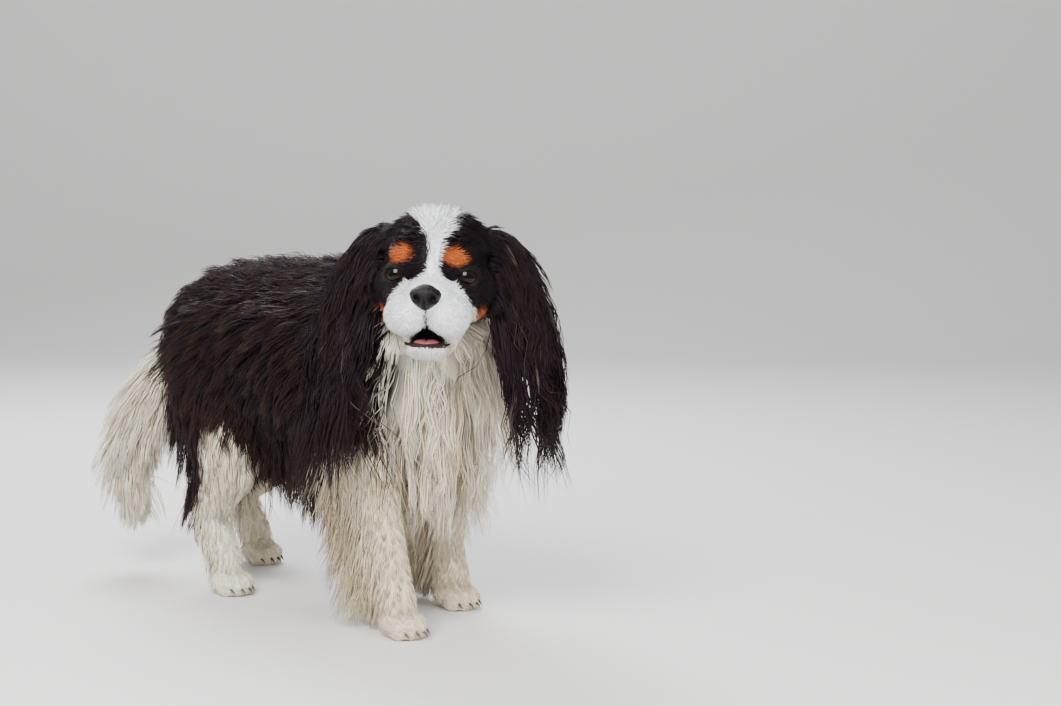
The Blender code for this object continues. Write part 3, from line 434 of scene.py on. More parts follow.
def on_tube(points, rings, across):
    """Each point's place along a tube, its turn round it, its distance off it and the way ahead."""
    found = np.full((len(points), 7), np.inf)
    for i, (before, after) in enumerate(zip(rings, rings[1:])):
        start, end = np.array(before[0]), np.array(after[0])
        ahead = end - start
        share = np.clip(((points - start) @ ahead) / (ahead @ ahead), 0, 1)
        ahead /= np.linalg.norm(ahead)
        level = np.array(across) - ahead * (np.array(across) @ ahead)
        level /= np.linalg.norm(level)
        face = np.cross(ahead, level)
        width = before[1] + (after[1] - before[1]) * share
        depth = before[2] + (after[2] - before[2]) * share
        off = points - start - share[:, None] * (end - start)
        u, v, w = off @ level / width, off @ face / depth, off @ ahead / np.minimum(width, depth)
        far = (np.sqrt(u**2 + v**2 + w**2) - 1) * np.minimum(width, depth)
        nearer = far < found[:, 2]
        row = np.column_stack([i + share, np.arctan2(u, v), far, u, np.tile(ahead, (len(points), 1))])
        found[nearer] = row[nearer]
    return found


def off_head(points):
    """Each point's distance off the masses of the head."""
    own = to_head(points)
    far = np.full(len(points), np.inf)
    masses = list(HEAD_MASSES)
    masses += [((x * side, y, z), radii) for side in SIDES.values() for (x, y, z), radii in PAIRED_MASSES]
    for centre, radii in masses:
        far = np.minimum(far, (np.linalg.norm((own - centre) / radii, axis=1) - 1) * min(radii))
    return far


def places(points):
    """The part of each point, and its row of on_tube for that part."""
    rows = np.stack([on_tube(points, part_rings[name], part_across[name]) for name in PARTS[:-1]])
    distance = np.vstack([rows[:, :, 2], off_head(points)])
    own = to_head(points)
    distance[PARTS.index("neck"), (own[:, 1] < 0.020) & (own[:, 2] > -0.060)] = np.inf
    part = distance.argmin(0)
    row = rows[np.minimum(part, len(PARTS) - 2), np.arange(len(points))]
    on_head = part == len(PARTS) - 1
    row[on_head, 0] = own[on_head, 1]
    row[on_head, 1] = np.arctan2(own[on_head, 0], own[on_head, 2] + 0.018)
    return part, row


# The markings, one rule for skin and coat: black over the back, sides, ears and the sides of the
# head; white blaze, muzzle, bib, legs and tail; tan over the eyes and on the cheeks.
BLACK = (0.0068, 0.0032, 0.0038)
SNOW = (0.940, 0.955, 0.965)
WHITE = (0.950, 0.925, 0.800)
CREAM = (0.740, 0.600, 0.400)
YELLOW_BROWN = (0.460, 0.300, 0.150)
TAN = (0.480, 0.112, 0.022)
SABLE = (0.200, 0.045, 0.014)
RUST = (0.150, 0.062, 0.026)
PIGMENT = (0.0075, 0.0050, 0.0050)

# Half width of the white on the face by the height in the head.
BLAZE = ((-0.080, 0.050), (-0.039, 0.040), (-0.031, 0.0365), (-0.022, 0.0310), (-0.0125, 0.0215),
         (-0.006, 0.0090), (-0.001, 0.0046), (0.016, 0.0046), (0.024, 0.0058), (0.033, 0.0090),
         (0.041, 0.0130), (0.048, 0.0185))


def step(value, low, high):
    """From 0 below low to 1 above high, smoothly. It falls where high is the smaller."""
    t = np.clip((value - low) / (high - low), 0, 1)
    return t * t * (3 - 2 * t)


def mix(base, other, share):
    """Rows of colour with a share of other colours in each."""
    return base + (np.array(other) - base) * np.asarray(share)[:, None]


# Where the tan spot over each eye lies: across from the middle of the face, and how high.
BROWS = {RIGHT: (0.0248, 0.0112), LEFT: (0.0182, 0.0108)}
CHEEK = (0.0430, -0.022, -0.0460)
NOSE_AT = (0, -0.0800, -0.0230)
NOSE_RADII = (0.0140, 0.0100, 0.0112)
MOUTH_RIM = 0.0010


def mouth_share(own):
    """From 0 on the face to 1 inside the lips, in the head's axes."""
    lip = np.array(MOUTH[::-1])
    far = np.abs(own[:, 0])
    y, z, depth, height = (np.interp(far, lip[:, 0], lip[:, i]) for i in range(1, 5))
    off = ((own[:, 1] - y) / (depth + MOUTH_RIM)) ** 2 + ((own[:, 2] - z) / (height + MOUTH_RIM)) ** 2
    return step(off, 1.25, 1.0) * (far < MOUTH[0][0])


def head_marks(own):
    """White and tan shares on the head, in its own axes."""
    x, y, z = np.abs(own[:, 0]), own[:, 1], own[:, 2]
    half = np.interp(z, *zip(*BLAZE)) * step(y, 0.030, -0.004)
    line = np.interp(z, (-0.012, 0.0, 0.020, 0.034, 0.044), (0, 0.0018, 0.0026, 0.0020, -0.001))
    white = step(np.abs(own[:, 0] - line) - half, 0.0012, -0.0012) * step(y, 0.010, -0.020)
    low = step(z, -0.040, -0.050)
    white = np.maximum(white, low * step(x, 0.052, 0.044))
    brow = np.zeros(len(own))
    for side, (across, height) in BROWS.items():
        off = own * (side, 1, 1) - (across, -0.036, height)
        off[:, 2] += 0.28 * off[:, 0]
        brow = np.maximum(brow, bump_of(off, 0, (0.0128, 0.030, 0.0088)))
    cheek = bump_of(np.column_stack([x, y, z]), CHEEK, (0.0075, 0.026, 0.0205))
    white *= 1 - step(cheek, 0.35, 0.62)
    return white, np.maximum(step(brow, 0.34, 0.46), step(cheek, 0.35, 0.62)), np.maximum(brow, cheek)


def marks(points, part, row):
    """The coat's colour at points near the skin."""
    place, turn = row[:, 0], row[:, 1]
    x, y, z = (points - np.array(STANCE)).T
    colour = np.tile(np.array(BLACK), (len(points), 1))
    white = np.zeros(len(points))
    cream_and_shade = np.zeros(len(points))
    brown_tint = np.zeros(len(points))
    wave = 0.006 * np.sin(x * 90 + 1) * np.sin(z * 70 + y * 60)

    on = part == PARTS.index("torso")
    front = step(y + wave, -0.004, -0.020) * step(np.abs(x), 0.062, 0.050) * step(z, 0.285, 0.268)
    under = step(np.cos(turn), 0.90, 0.97) * step(z, 0.200, 0.185)
    white[on] = np.maximum(front, under)[on]
    on = part == PARTS.index("neck")
    white[on] = (step(-np.cos(turn) + wave * 12, -0.05, 0.15) * step(z, 0.330, 0.300))[on]
    on = part == PARTS.index("tail")
    white[on] = step(place + wave * 20, 0.75, 1.15)[on]
    cream_and_shade[on] = 0.15
    for word, side in SIDES.items():
        on = part == PARTS.index("leg_fore_" + word)
        white[on] = step(z + wave * 2, 0.200, 0.180)[on]
        cream_and_shade[on] = 0.66
        on = part == PARTS.index("leg_hind_" + word)
        ahead = np.cos(turn * side - 0.6) - 0.05
        white[on] = np.maximum(step(z + wave * 2, 0.072, 0.056), step(z - 0.110 * ahead + wave, 0.110, 0.090))[on]
        # The left hind leg, the far one in the body's shade, takes more cream than the right: its real cream plus
        # painted shade.
        cream_and_shade[on] = 0.60 if side == LEFT else 0.30
    on = part == PARTS.index("head")
    own = to_head(points)
    face_white, tan, deep = head_marks(own)
    white[on] = face_white[on]
    tan = tan * on
    colour = mix(colour, mix(np.tile(SABLE, (len(points), 1)), TAN, step(deep, 0.40, 0.72)), tan)
    # Brown stains at the chin and at the corners of the mouth.
    chin = bump_of(own, (0, -0.060, -0.062), (0.022, 0.022, 0.008))
    corner = bump_of(own * np.sign(own[:, :1]) ** (1, 0, 0), (0.021, -0.058, -0.0640), (0.007, 0.016, 0.0050))
    brown_tint[on] = (0.40 * chin + 0.80 * corner)[on]
    # The throat under the chin and the chest low between the fore legs are tinted brown as well.
    throat = bump_of(points - np.array(STANCE), (-0.045, -0.100, 0.235), (0.040, 0.050, 0.018))
    brown_tint = np.maximum(brown_tint, 0.55 * throat * (part != PARTS.index("head")))
    brown_tint = np.maximum(brown_tint, 0.45 * bump_of(points - np.array(STANCE), (0, -0.02, 0.165), (0.05, 0.05, 0.03)))
    bib = (part == 0) | (part == 1)
    cream_and_shade = np.where(bib, 0.30 + 0.22 * np.sin(x * 70 + 2) * np.sin(z * 55 + 1), cream_and_shade)
    snowy = on * np.maximum(step(own[:, 1], -0.026, -0.042), step(own[:, 2], -0.010, 0.010))
    colour = mix(colour, mix(np.tile(WHITE, (len(points), 1)), SNOW, snowy), white)
    cream_and_shade = np.maximum(cream_and_shade, 0.45 * on * (1 - snowy))
    colour = mix(colour, CREAM, cream_and_shade * white)
    colour = mix(colour, YELLOW_BROWN, brown_tint * white)
    dark = mouth_share(own) * on
    for side in SIDES.values():
        off = own - np.array((EYE_AT[0] * side, EYE_AT[1], EYE_AT[2]))
        dark = np.maximum(dark, step(np.linalg.norm(off, axis=1), 0.0155, 0.0135) * on * step(own[:, 2], 0.006, 0.002))
    groove = step(np.abs(own[:, 0]), 0.0011, 0.0005) * step(own[:, 1], -0.060, -0.066) * on
    groove *= step(own[:, 2], -0.030, -0.034) * step(own[:, 2], -0.053, -0.050)
    return mix(colour, PIGMENT, np.maximum(dark, groove)), white


# The lie and the length of the coat. Each part has its own rule: the way the hair points, how
# long and how broad a tuft is, its lift off the skin in degrees, how high it stands, how much it
# droops, how closely it follows the skin, its waves, and how many tufts run into one lock.
FIELDS = ("length", "width", "lift", "height", "droop", "cling", "wave", "lock")


def by(value, *pairs):
    """A quantity read from pairs of value and quantity."""
    return np.interp(value, *zip(*pairs))


def trunk_style(points, normals, row):
    """Back, sides, belly fringe, breast and rump."""
    place = row[:, 0]
    top = 180 - np.abs(np.degrees(row[:, 1]))
    front = step(-normals[:, 1], 0.20, 0.60)
    rear = step(normals[:, 1], 0.45, 0.80)
    sign = np.sign(points[:, 0] - STANCE.x)
    out = by(top, (0, 0.25), (45, 0.10), (76, 0), (128, 0.10), (160, 0.3))
    back = by(top, (0, 1.0), (45, 0.95), (76, 0.75), (104, 0.50), (128, 0.25), (160, 0.50))
    down = by(top, (0, 0.05), (45, 0.45), (76, 0.80), (104, 0.95), (160, 0.90))
    lie = np.column_stack([out * sign, back, -down])
    lie += (np.column_stack([0.10 * sign, 0 * back, -np.ones(len(back))]) - lie) * front[:, None]
    lie += (np.column_stack([0 * sign, 0.30 * np.ones(len(back)), -np.ones(len(back))]) - lie) * rear[:, None]
    fringe = step(top, 108, 124) * step(top, 158, 140)
    stretch = by(place, (1, 1.40), (3, 1.25), (5, 0.90), (7, 0.62), (9, 0.55))
    length = by(top, (0, 0.046), (45, 0.054), (76, 0.066), (104, 0.072), (160, 0.046), (180, 0.040))
    length = length + fringe * (0.098 * stretch - length)
    z = points[:, 2]
    length = length + front * (by(z, (0.150, 0.100), (0.190, 0.118), (0.240, 0.092), (0.290, 0.060)) - length)
    length = length + rear * (0.062 - length)
    width = 0.00108 - 0.0001 * front
    lift = 11 + 8 * front + 5 * fringe
    height = by(top, (0, 0.019), (60, 0.020), (104, 0.020), (128, 0.014), (160, 0.010)) * (1 - 0.2 * front)
    droop = 0.06 + 0.16 * np.maximum(front, fringe)
    cling = 0.75 * (1 - np.maximum(np.maximum(front, fringe), rear * 0.5))
    wave = 0.0020 + 0.0014 * fringe + 0.0034 * front
    return lie, (length, width, lift, height, droop, cling, wave, 13 + 0 * top)


def neck_style(points, normals, row):
    """Back over the shoulders above, and down in a ruff at the throat."""
    a = np.abs(row[:, 1])
    ahead = row[:, 4:7]
    lie = np.array(DOWN) - ahead * (0.9 + 0.9 * np.cos(a))[:, None]
    throat = step(np.cos(a), 0.3, -0.5)
    length = 0.052 + 0.042 * throat
    one = np.ones(len(a))
    return lie, (length, 0.00105 * one, 15 + 8 * throat, 0.015 * one, 0.08 + 0.10 * throat,
                 0.5 * (1 - throat), 0.0024 + 0.0026 * throat, 12 * one)


def leg_style(points, normals, row, pair):
    """Short in front, with feathers or breeches behind, and shortest on the paw."""
    place, front = row[:, 0], np.cos(row[:, 1])
    behind = step(-front, 0.15, 0.65)
    trail = 0.85 if pair == "fore" else 0.38
    one = np.ones(len(place))
    lie = np.column_stack([0.05 * np.sign(normals[:, 0]), trail * behind, -one])
    paw = step(points[:, 2], 0.034, 0.024)
    lie += (np.column_stack([0 * one, -0.9 * one, -0.55 * one]) - lie) * paw[:, None]
    if pair == "fore":
        short = by(place, (0, 0.050), (0.8, 0.040), (1.4, 0.022), (2.5, 0.016), (4, 0.014))
        long = by(place, (0, 0.066), (0.8, 0.098), (2.4, 0.104), (3.1, 0.068), (3.7, 0.028), (4, 0.016))
    else:
        short = by(place, (0, 0.056), (1.2, 0.050), (2.0, 0.034), (2.8, 0.020), (5, 0.014))
        long = by(place, (0, 0.060), (1.0, 0.070), (2.9, 0.068), (3.4, 0.040), (4.4, 0.034), (5, 0.016))
    length = short + behind * (long - short)
    length = length + paw * (0.0085 - length)
    width = 0.0009 + 0.0003 * step(length, 0.02, 0.05)
    height = np.clip(length * 0.22, 0.0015, 0.016)
    return lie, (length, width, 12 + 10 * behind, height, 0.04 + 0.12 * behind,
                 0.6 * (1 - behind), by(length, (0.01, 0.0002), (0.03, 0.001), (0.08, 0.003)),
                 by(length, (0.01, 5), (0.05, 11)))


def tail_style(points, normals, row):
    """A plume: hair all round that falls towards the tip."""
    one = np.ones(len(points))
    inward = np.array((0.7, -0.7, 0)) * step(row[:, 0], 1.6, 3.2)[:, None]
    lie = row[:, 4:7] + np.array(DOWN) * 0.45 + inward * 0.45
    length = by(row[:, 0], (0, 0.036), (0.7, 0.060), (1.5, 0.082), (3, 0.078), (4, 0.062))
    lift = by(row[:, 0], (0, 14), (1, 27), (2, 26), (3, 14), (4, 6))
    return lie, (length, 0.00115 * one, lift, 0.014 * one, 0.20 * one, 0.0 * one, 0.0020 * one, 14 * one)


def ear_style(points, normals, row, side):
    """Long wavy hair down the outer face and the edges, longest at the end."""
    place, u, ahead = row[:, 0], row[:, 3], row[:, 4:7]
    outer = step(np.cos(row[:, 1]) * side, -0.35, 0.15)
    level = np.array(part_across["ear_right" if side == RIGHT else "ear_left"])
    lie = ahead + np.array(DOWN) * 0.5 + level * (u * 0.30 + 0.12 * step(place, 1.5, 3.5))[:, None]
    length = by(place, (0, 0.016), (0.8, 0.024), (1.6, 0.050), (2.4, 0.082), (4, 0.115), (6, 0.150))
    length = length * (0.55 + 0.45 * outer)
    one = np.ones(len(u))
    return lie, (length, 0.00115 * one, 7 + 2 * outer, by(place, (0, 0.003), (2, 0.007), (6, 0.006)),
                 0.20 * one, 0.35 * one, by(length, (0.02, 0.0004), (0.09, 0.0048), (0.14, 0.0062)), 15 * one)


def head_style(points, normals, row):
    """Short and close on the face, longer over the skull, the cheeks and the throat."""
    own = to_head(points)
    x, y, z = own.T
    sign, far, one = np.sign(x), np.abs(x), np.ones(len(x))
    lie = np.column_stack([0.5 * sign, 0.9 * one, -0.35 * one])
    length = by(y, (-0.060, 0.0060), (-0.020, 0.0080), (0.020, 0.0150), (0.050, 0.0260))

    def region(share, way, long):
        nonlocal lie, length
        lie = lie + (np.column_stack([way[0] * sign, way[1] * one, way[2] * one]) - lie) * share[:, None]
        length = length + share * (long - length)

    region(step(y, 0.015, 0.040), (0.35, 0.8, -0.8), 0.028)
    skull = step(z, 0.012, 0.026) * step(far, 0.004, 0.012)
    region(skull, (1.0, 0.60, -0.55), by(far, (0.008, 0.012), (0.018, 0.017), (0.040, 0.021)))
    region(step(far, 0.006, 0.003) * step(z, -0.004, 0.010), (0.10, 0.6, 1.0), by(z, (0, 0.0055), (0.030, 0.0110)))
    crest = step(z, 0.030, 0.044) * step(far, 0.020, 0.006) * step(y, 0.03, -0.01)
    region(crest, (0.12, 0.9, 0.2), 0.0165)
    brow = bump_of(np.column_stack([far, y, z]), (0.0240, -0.036, 0.0135), (0.014, 0.030, 0.011))
    region(step(brow, 0.2, 0.6), (0.9, 0.5, 0.35), 0.0068)
    region(step(far, 0.030, 0.040) * step(y, -0.040, -0.015) * step(z, 0.006, -0.014), (0.25, 0.45, -1.0), by(y, (-0.030, 0.009), (0.0, 0.020)))
    eye = bump_of(np.column_stack([far, y, z]), EYE_AT, (0.018, 0.020, 0.014))
    length = length + step(eye, 0.25, 0.60) * (0.0042 - length)
    muzzle = step(y, -0.040, -0.052) * step(z, -0.002, -0.012)
    region(muzzle, (0.45, 0.75, -0.55), by(far, (0.008, 0.0034), (0.030, 0.0062)))
    region(step(y, -0.045, -0.055) * step(far, 0.012, 0.006) * step(z, -0.030, -0.018), (0.1, 1.0, 0.4), 0.0032)
    cheek = bump_of(np.column_stack([far, y, z]), CHEEK, (0.0095, 0.026, 0.0200))
    region(step(cheek, 0.2, 0.6), (0.30, 0.80, -0.70), 0.0085)
    under = step(z, -0.054, -0.062)
    region(under, (0.10, 0.25, -1.0), by(y, (-0.066, 0.0085), (-0.048, 0.0120), (-0.030, 0.026)))
    lie = lie @ np.array(HEAD.to_3x3()).T
    return lie, (length, by(length, (0.003, 0.00060), (0.012, 0.00085), (0.03, 0.0010)), 15 + 14 * crest - 8 * skull * step(far, 0.018, 0.028),
                 np.clip(length * 0.26, 0.0008, 0.006) + 0.004 * skull * step(far, 0.034, 0.022) + 0.003 * crest, 0.03 + 0.10 * step(length, 0.014, 0.020), 0.35 * one,
                 by(length, (0.006, 0.0), (0.03, 0.0012)), by(length, (0.006, 3), (0.02, 7)))


def style(points, normals, part, row):
    """The lie of the coat at each root, and its fields."""
    lie = np.zeros_like(points)
    fields = np.zeros((len(points), len(FIELDS)))
    rules = {"torso": trunk_style, "neck": neck_style, "tail": tail_style, "head": head_style}
    for index, name in enumerate(PARTS):
        on = part == index
        if not on.any():
            continue
        more = []
        if name in rules:
            rule = rules[name]
        elif name.startswith("leg"):
            rule = leg_style
            more = [name.split("_")[1]]
        else:
            rule = ear_style
            more = [SIDES[name.split("_")[1]]]
        ways, values = rule(points[on], normals[on], row[on], *more)
        lie[on] = ways
        fields[on] = np.column_stack(values)
    return lie, {name: fields[:, i] for i, name in enumerate(FIELDS)}


# Roots, spread evenly over the skin by how dense each part's coat is: tufts for each square
# centimetre, and the depth of coat that hair from other parts stays clear of.
DENSITY = {"torso": 13.5, "neck": 17.0, "tail": 44.0, "leg_fore": 21.0, "leg_hind": 15.0, "ear": 27.0, "head": 62.0}
DEPTH = {"torso": 0.016, "neck": 0.015, "tail": 0.006, "leg_fore": 0.006, "leg_hind": 0.010, "ear": 0.005, "head": 0.005}
CLEAR = 0.0020
draw = np.random.default_rng(5)


def value_of(table):
    """A table's value for each part, found by the start of its name."""
    return np.array([next(v for k, v in table.items() if name.startswith(k)) for name in PARTS])


mesh = skin.data
mesh.calc_loop_triangles()
corners = np.empty(len(mesh.loop_triangles) * 3, np.int32)
mesh.loop_triangles.foreach_get("vertices", corners)
corners = corners.reshape(-1, 3)
flesh_points = points_of(skin)
flesh_normals = np.array([tuple(v.normal) for v in mesh.vertices])
side_1 = flesh_points[corners[:, 1]] - flesh_points[corners[:, 0]]
side_2 = flesh_points[corners[:, 2]] - flesh_points[corners[:, 0]]
area = np.linalg.norm(np.cross(side_1, side_2), axis=1) / 2
middles = flesh_points[corners].mean(1)
triangle_part, triangle_row = places(middles)
skin_tree = BVHTree.FromPolygons(flesh_points.tolist(), corners.tolist())
bare = np.zeros(len(middles), bool)
own = to_head(middles)
for side in SIDES.values():
    centre, across, up, out = eye_axes(side)
    off = middles - np.array(centre)
    u, v, w = off @ np.array(across), off @ np.array(up), off @ np.array(out)
    near = (u / (EYE_OPENING[0] + 0.0006)) ** 2 + (v / (EYE_OPENING[1] + 0.0006)) ** 2 < 1
    bare |= near & (w > 0)
    bare |= np.linalg.norm(off, axis=1) < EYE_RADIUS + 0.0010
nose_off = np.linalg.norm((own - NOSE_AT) / (np.array(NOSE_RADII) + (0.0006, 0.004, 0.0006)), axis=1)
bare |= nose_off < 1
bare |= mouth_share(own) > 0.5
weight = area * 1e4 * value_of(DENSITY)[triangle_part] * ~bare
total = int(weight.sum())
ticks = (np.arange(total) + draw.random(total)) / total * weight.sum()
picked = np.searchsorted(np.cumsum(weight), ticks).clip(0, len(corners) - 1)
r, s = draw.random((2, total))
over = r + s > 1
r[over], s[over] = 1 - r[over], 1 - s[over]
bary = np.column_stack([1 - r - s, r, s])
roots = (flesh_points[corners[picked]] * bary[:, :, None]).sum(1)
normals = unit((flesh_normals[corners[picked]] * bary[:, :, None]).sum(1))
part = triangle_part[picked]
row = places(roots)[1]
lie, look = style(roots, normals, part, row)


# Each tuft is combed along the lie in short steps. It droops, follows the skin, and stays off the
# coat of other parts. Then tufts run together into locks and the locks take their waves.
STEPS = 5
depth_of = value_of(DEPTH)
group_of = np.array([0 if name in ("torso", "neck") else i for i, name in enumerate(PARTS)])


def comb(roots, normals, lie, look, part):
    """The line of each tuft from under the skin to its tip, as steps + 1 points."""
    count = len(roots)
    vary = draw.uniform(0.80, 1.12, count)
    length = look["length"] * vary
    height = look["height"] * draw.uniform(0.15, 1.0, count) ** 0.8
    turn = draw.normal(0, 0.07, count)
    lie = unit(lie - normals * (lie * normals).sum(1)[:, None])
    across = np.cross(normals, lie)
    lie = unit(lie + across * turn[:, None])
    lift = np.radians(look["lift"] * draw.uniform(0.7, 1.3, count))[:, None]
    heading = lie * np.cos(lift) + normals * np.sin(lift)
    sunk = np.minimum(0.0015, length * 0.2)[:, None]
    lines = np.empty((count, STEPS + 1, 3))
    outs = np.empty((count, STEPS + 1, 3))
    lines[:, 0] = roots - normals * sunk
    outs[:, 0] = normals
    point = roots.copy()
    group = group_of[part]
    for i in range(1, STEPS + 1):
        share = i / STEPS
        before = point
        point = point + heading * (length / STEPS)[:, None]
        near = np.empty((count, 3))
        out = np.empty((count, 3))
        hit = np.empty(count, int)
        for k, at in enumerate(point.tolist()):
            near[k], out[k], hit[k], _ = skin_tree.find_nearest(at)
        above = ((point - near) * out).sum(1)
        other = group_of[triangle_part[hit]] != group
        need = np.where(other, depth_of[triangle_part[hit]], height * min(1.0, share * 1.6))
        short = np.maximum(need - above, 0)
        excess = np.maximum(above - need, 0) * look["cling"] * ~other
        point = point + out * np.clip(short - excess, -0.012, 0.012)[:, None]
        point[:, 2] = np.maximum(point[:, 2], CLEAR)
        lines[:, i] = point
        outs[:, i] = out
        heading = unit(unit(point - before) * 0.45 + heading * 0.55 + np.array(DOWN) * look["droop"][:, None])
    return lines, outs, length


lines, outs, length = comb(roots, normals, lie, look, part)



def smooth_lines():
    """Which tufts have no sharp bend and no stretched step."""
    segments = np.diff(lines[:, 1:], axis=1)
    ways = unit(segments)
    bends = (ways[:, 1:] * ways[:, :-1]).sum(2).min(1)
    reach = np.linalg.norm(segments, axis=2).max(1)
    return (bends > 0.58) & (reach < 1.9 * look["length"] / STEPS + 0.001)


# A tuft that is bent sharply where it was pushed past another part is left out.
straight = smooth_lines()

# The leader of each lock is one of its own tufts.
leads = np.flatnonzero((draw.random(total) < 1 / look["lock"]) & straight)
tree = KDTree(len(leads))
key = roots + normals * 0.006 + part[:, None] * np.array((2.0, 0, 0))
for i, lead in enumerate(leads):
    tree.insert(key[lead], i)
tree.balance()
leader = leads[[tree.find(at)[1] for at in key.tolist()]]
shares = np.linspace(0, 1, STEPS + 1)
on_ear = np.char.startswith(np.array(PARTS)[part], "ear")
stray = draw.random(total) < 0.04
pull = np.where(stray, 0.0, 0.78) * step(length, 0.004, 0.014)
draw_in = pull[:, None] * shares**1.25
lines += (lines[leader] - lines) * draw_in[:, :, None]
ways = unit(np.gradient(lines, axis=1))
sideways = unit(np.cross(ways, outs))
phase = draw.uniform(0, 2 * np.pi, total)[leader] + roots[leader] @ np.array((60, 45, 60))
pace = draw.uniform(150, 220, total)[leader]
swing = np.sin(phase[:, None] + pace[:, None] * shares * length[leader][:, None])
dip = np.cos(phase[:, None] * 1.3 + pace[:, None] * shares * length[leader][:, None])
curl = 1 + 1.3 * (look["wave"] > 0.0035)[:, None] * step(shares, 0.4, 1.0)
grow = look["wave"][:, None] * shares**0.8 * curl
lines += sideways * (swing * grow)[:, :, None] + outs * (np.maximum(dip, -0.2) * grow * 0.45)[:, :, None]
frizz = draw.normal(0, 1, (total, STEPS + 1, 3)) * (0.007 * length[:, None] * shares)[:, :, None]
lines += frizz * np.where(stray, 2.0, 1.0)[:, None, None]
lines[:, 1:, 2] = np.maximum(lines[:, 1:, 2], CLEAR)
straight &= smooth_lines()

# Colour along each tuft: the marking at its root, with the locks a little lighter or darker,
# rusty ends on the fringe, and pale streaks in the ears that are painted highlights of their sheen.
jitter = np.where(part == PARTS.index("head"), 0.0007, 0.0020)[:, None]
tuft_colour, tuft_white = marks(roots + draw.normal(0, 1, roots.shape) * jitter, part, row)
lock_shade = draw.normal(0, 1, total)[leader]
shade = 1 + 0.055 * lock_shade + draw.normal(0, 0.035, total)
tuft_colour = tuft_colour * np.clip(shade, 0.6, 1.5)[:, None]
yellowed = draw.random(total)[leader] ** 2 * tuft_white * (part != PARTS.index("head"))
tuft_colour = mix(tuft_colour, CREAM, 0.75 * yellowed)
ends = np.repeat(tuft_colour[:, None, :], STEPS + 1, axis=1)
# Painted highlight: pale streaks towards the ends of some ear locks stand in for the sheen on the black ears.
sheen_streak = on_ear & (draw.random(total)[leader] < 0.10) & (row[:, 0] > 1.0) & (draw.random(total) < 0.45)
painted_sheen = np.where(sheen_streak, draw.uniform(0.10, 0.50, total)[leader], 0.0)
painted_sheen_share = painted_sheen[:, None] * step(shares, 0.15, 0.8)[None, :]
ends += (np.array((0.22, 0.17, 0.15)) - ends) * painted_sheen_share[:, :, None]
low = step(roots[:, 2], 0.190, 0.165) * (part == 0) * (1 - tuft_white)
rusty = (low * draw.uniform(0.2, 0.9, total)[leader])[:, None] * step(shares, 0.45, 1.0)[None, :]
ends += (np.array(RUST) - ends) * rusty[:, :, None]
brown = ((1 - tuft_white) * np.where(on_ear, 0.08, 0.20) * (part < len(PARTS) - 1))[:, None] * step(shares, 0.5, 1.0)[None, :]
ends += (np.array(RUST) - ends) * brown[:, :, None]


# The tufts as solid mesh: three-sided, broadest in the middle, closed at the root and at the tip.
# The bake map lays each tuft as one small patch at its root's place on the unrolled skin, where
# each part has a field of its own. The strand map runs across and along the hair.
TRIM = {"long": (0, 1, 2, 3, 4, 5), "short": (0, 2, 5)}
BELLY = (0.60, 0.95, 1.0, 0.88, 0.62, 0.0)
BAKE_PATCH = 0.003
BAKE_FIELDS = {
    "torso": (0.00, 0.00, 0.55, 0.54), "neck": (0.00, 0.56, 0.44, 0.14), "tail": (0.46, 0.56, 0.10, 0.42),
    "leg_fore_right": (0.58, 0.00, 0.19, 0.36), "leg_fore_left": (0.80, 0.00, 0.19, 0.36),
    "leg_hind_right": (0.58, 0.38, 0.19, 0.34), "leg_hind_left": (0.80, 0.38, 0.19, 0.34),
    "ear_right": (0.58, 0.74, 0.19, 0.25), "ear_left": (0.80, 0.74, 0.19, 0.25),
    "head": (0.00, 0.72, 0.44, 0.27),
}


def bake_place(part, row):
    """Where roots lie on the unrolled skin."""
    fields = np.array([BAKE_FIELDS[name] for name in PARTS])[part]
    span = np.array([len(part_rings[name]) - 1 if name in part_rings else 1 for name in PARTS])[part]
    along = np.where(part == len(PARTS) - 1, (row[:, 0] + 0.085) / 0.160, row[:, 0] / span)
    around = row[:, 1] / (2 * np.pi) + 0.5
    fit = fields[:, 2:] - BAKE_PATCH
    return fields[:, :2] + np.column_stack([around, np.clip(along, 0, 1)]) * fit


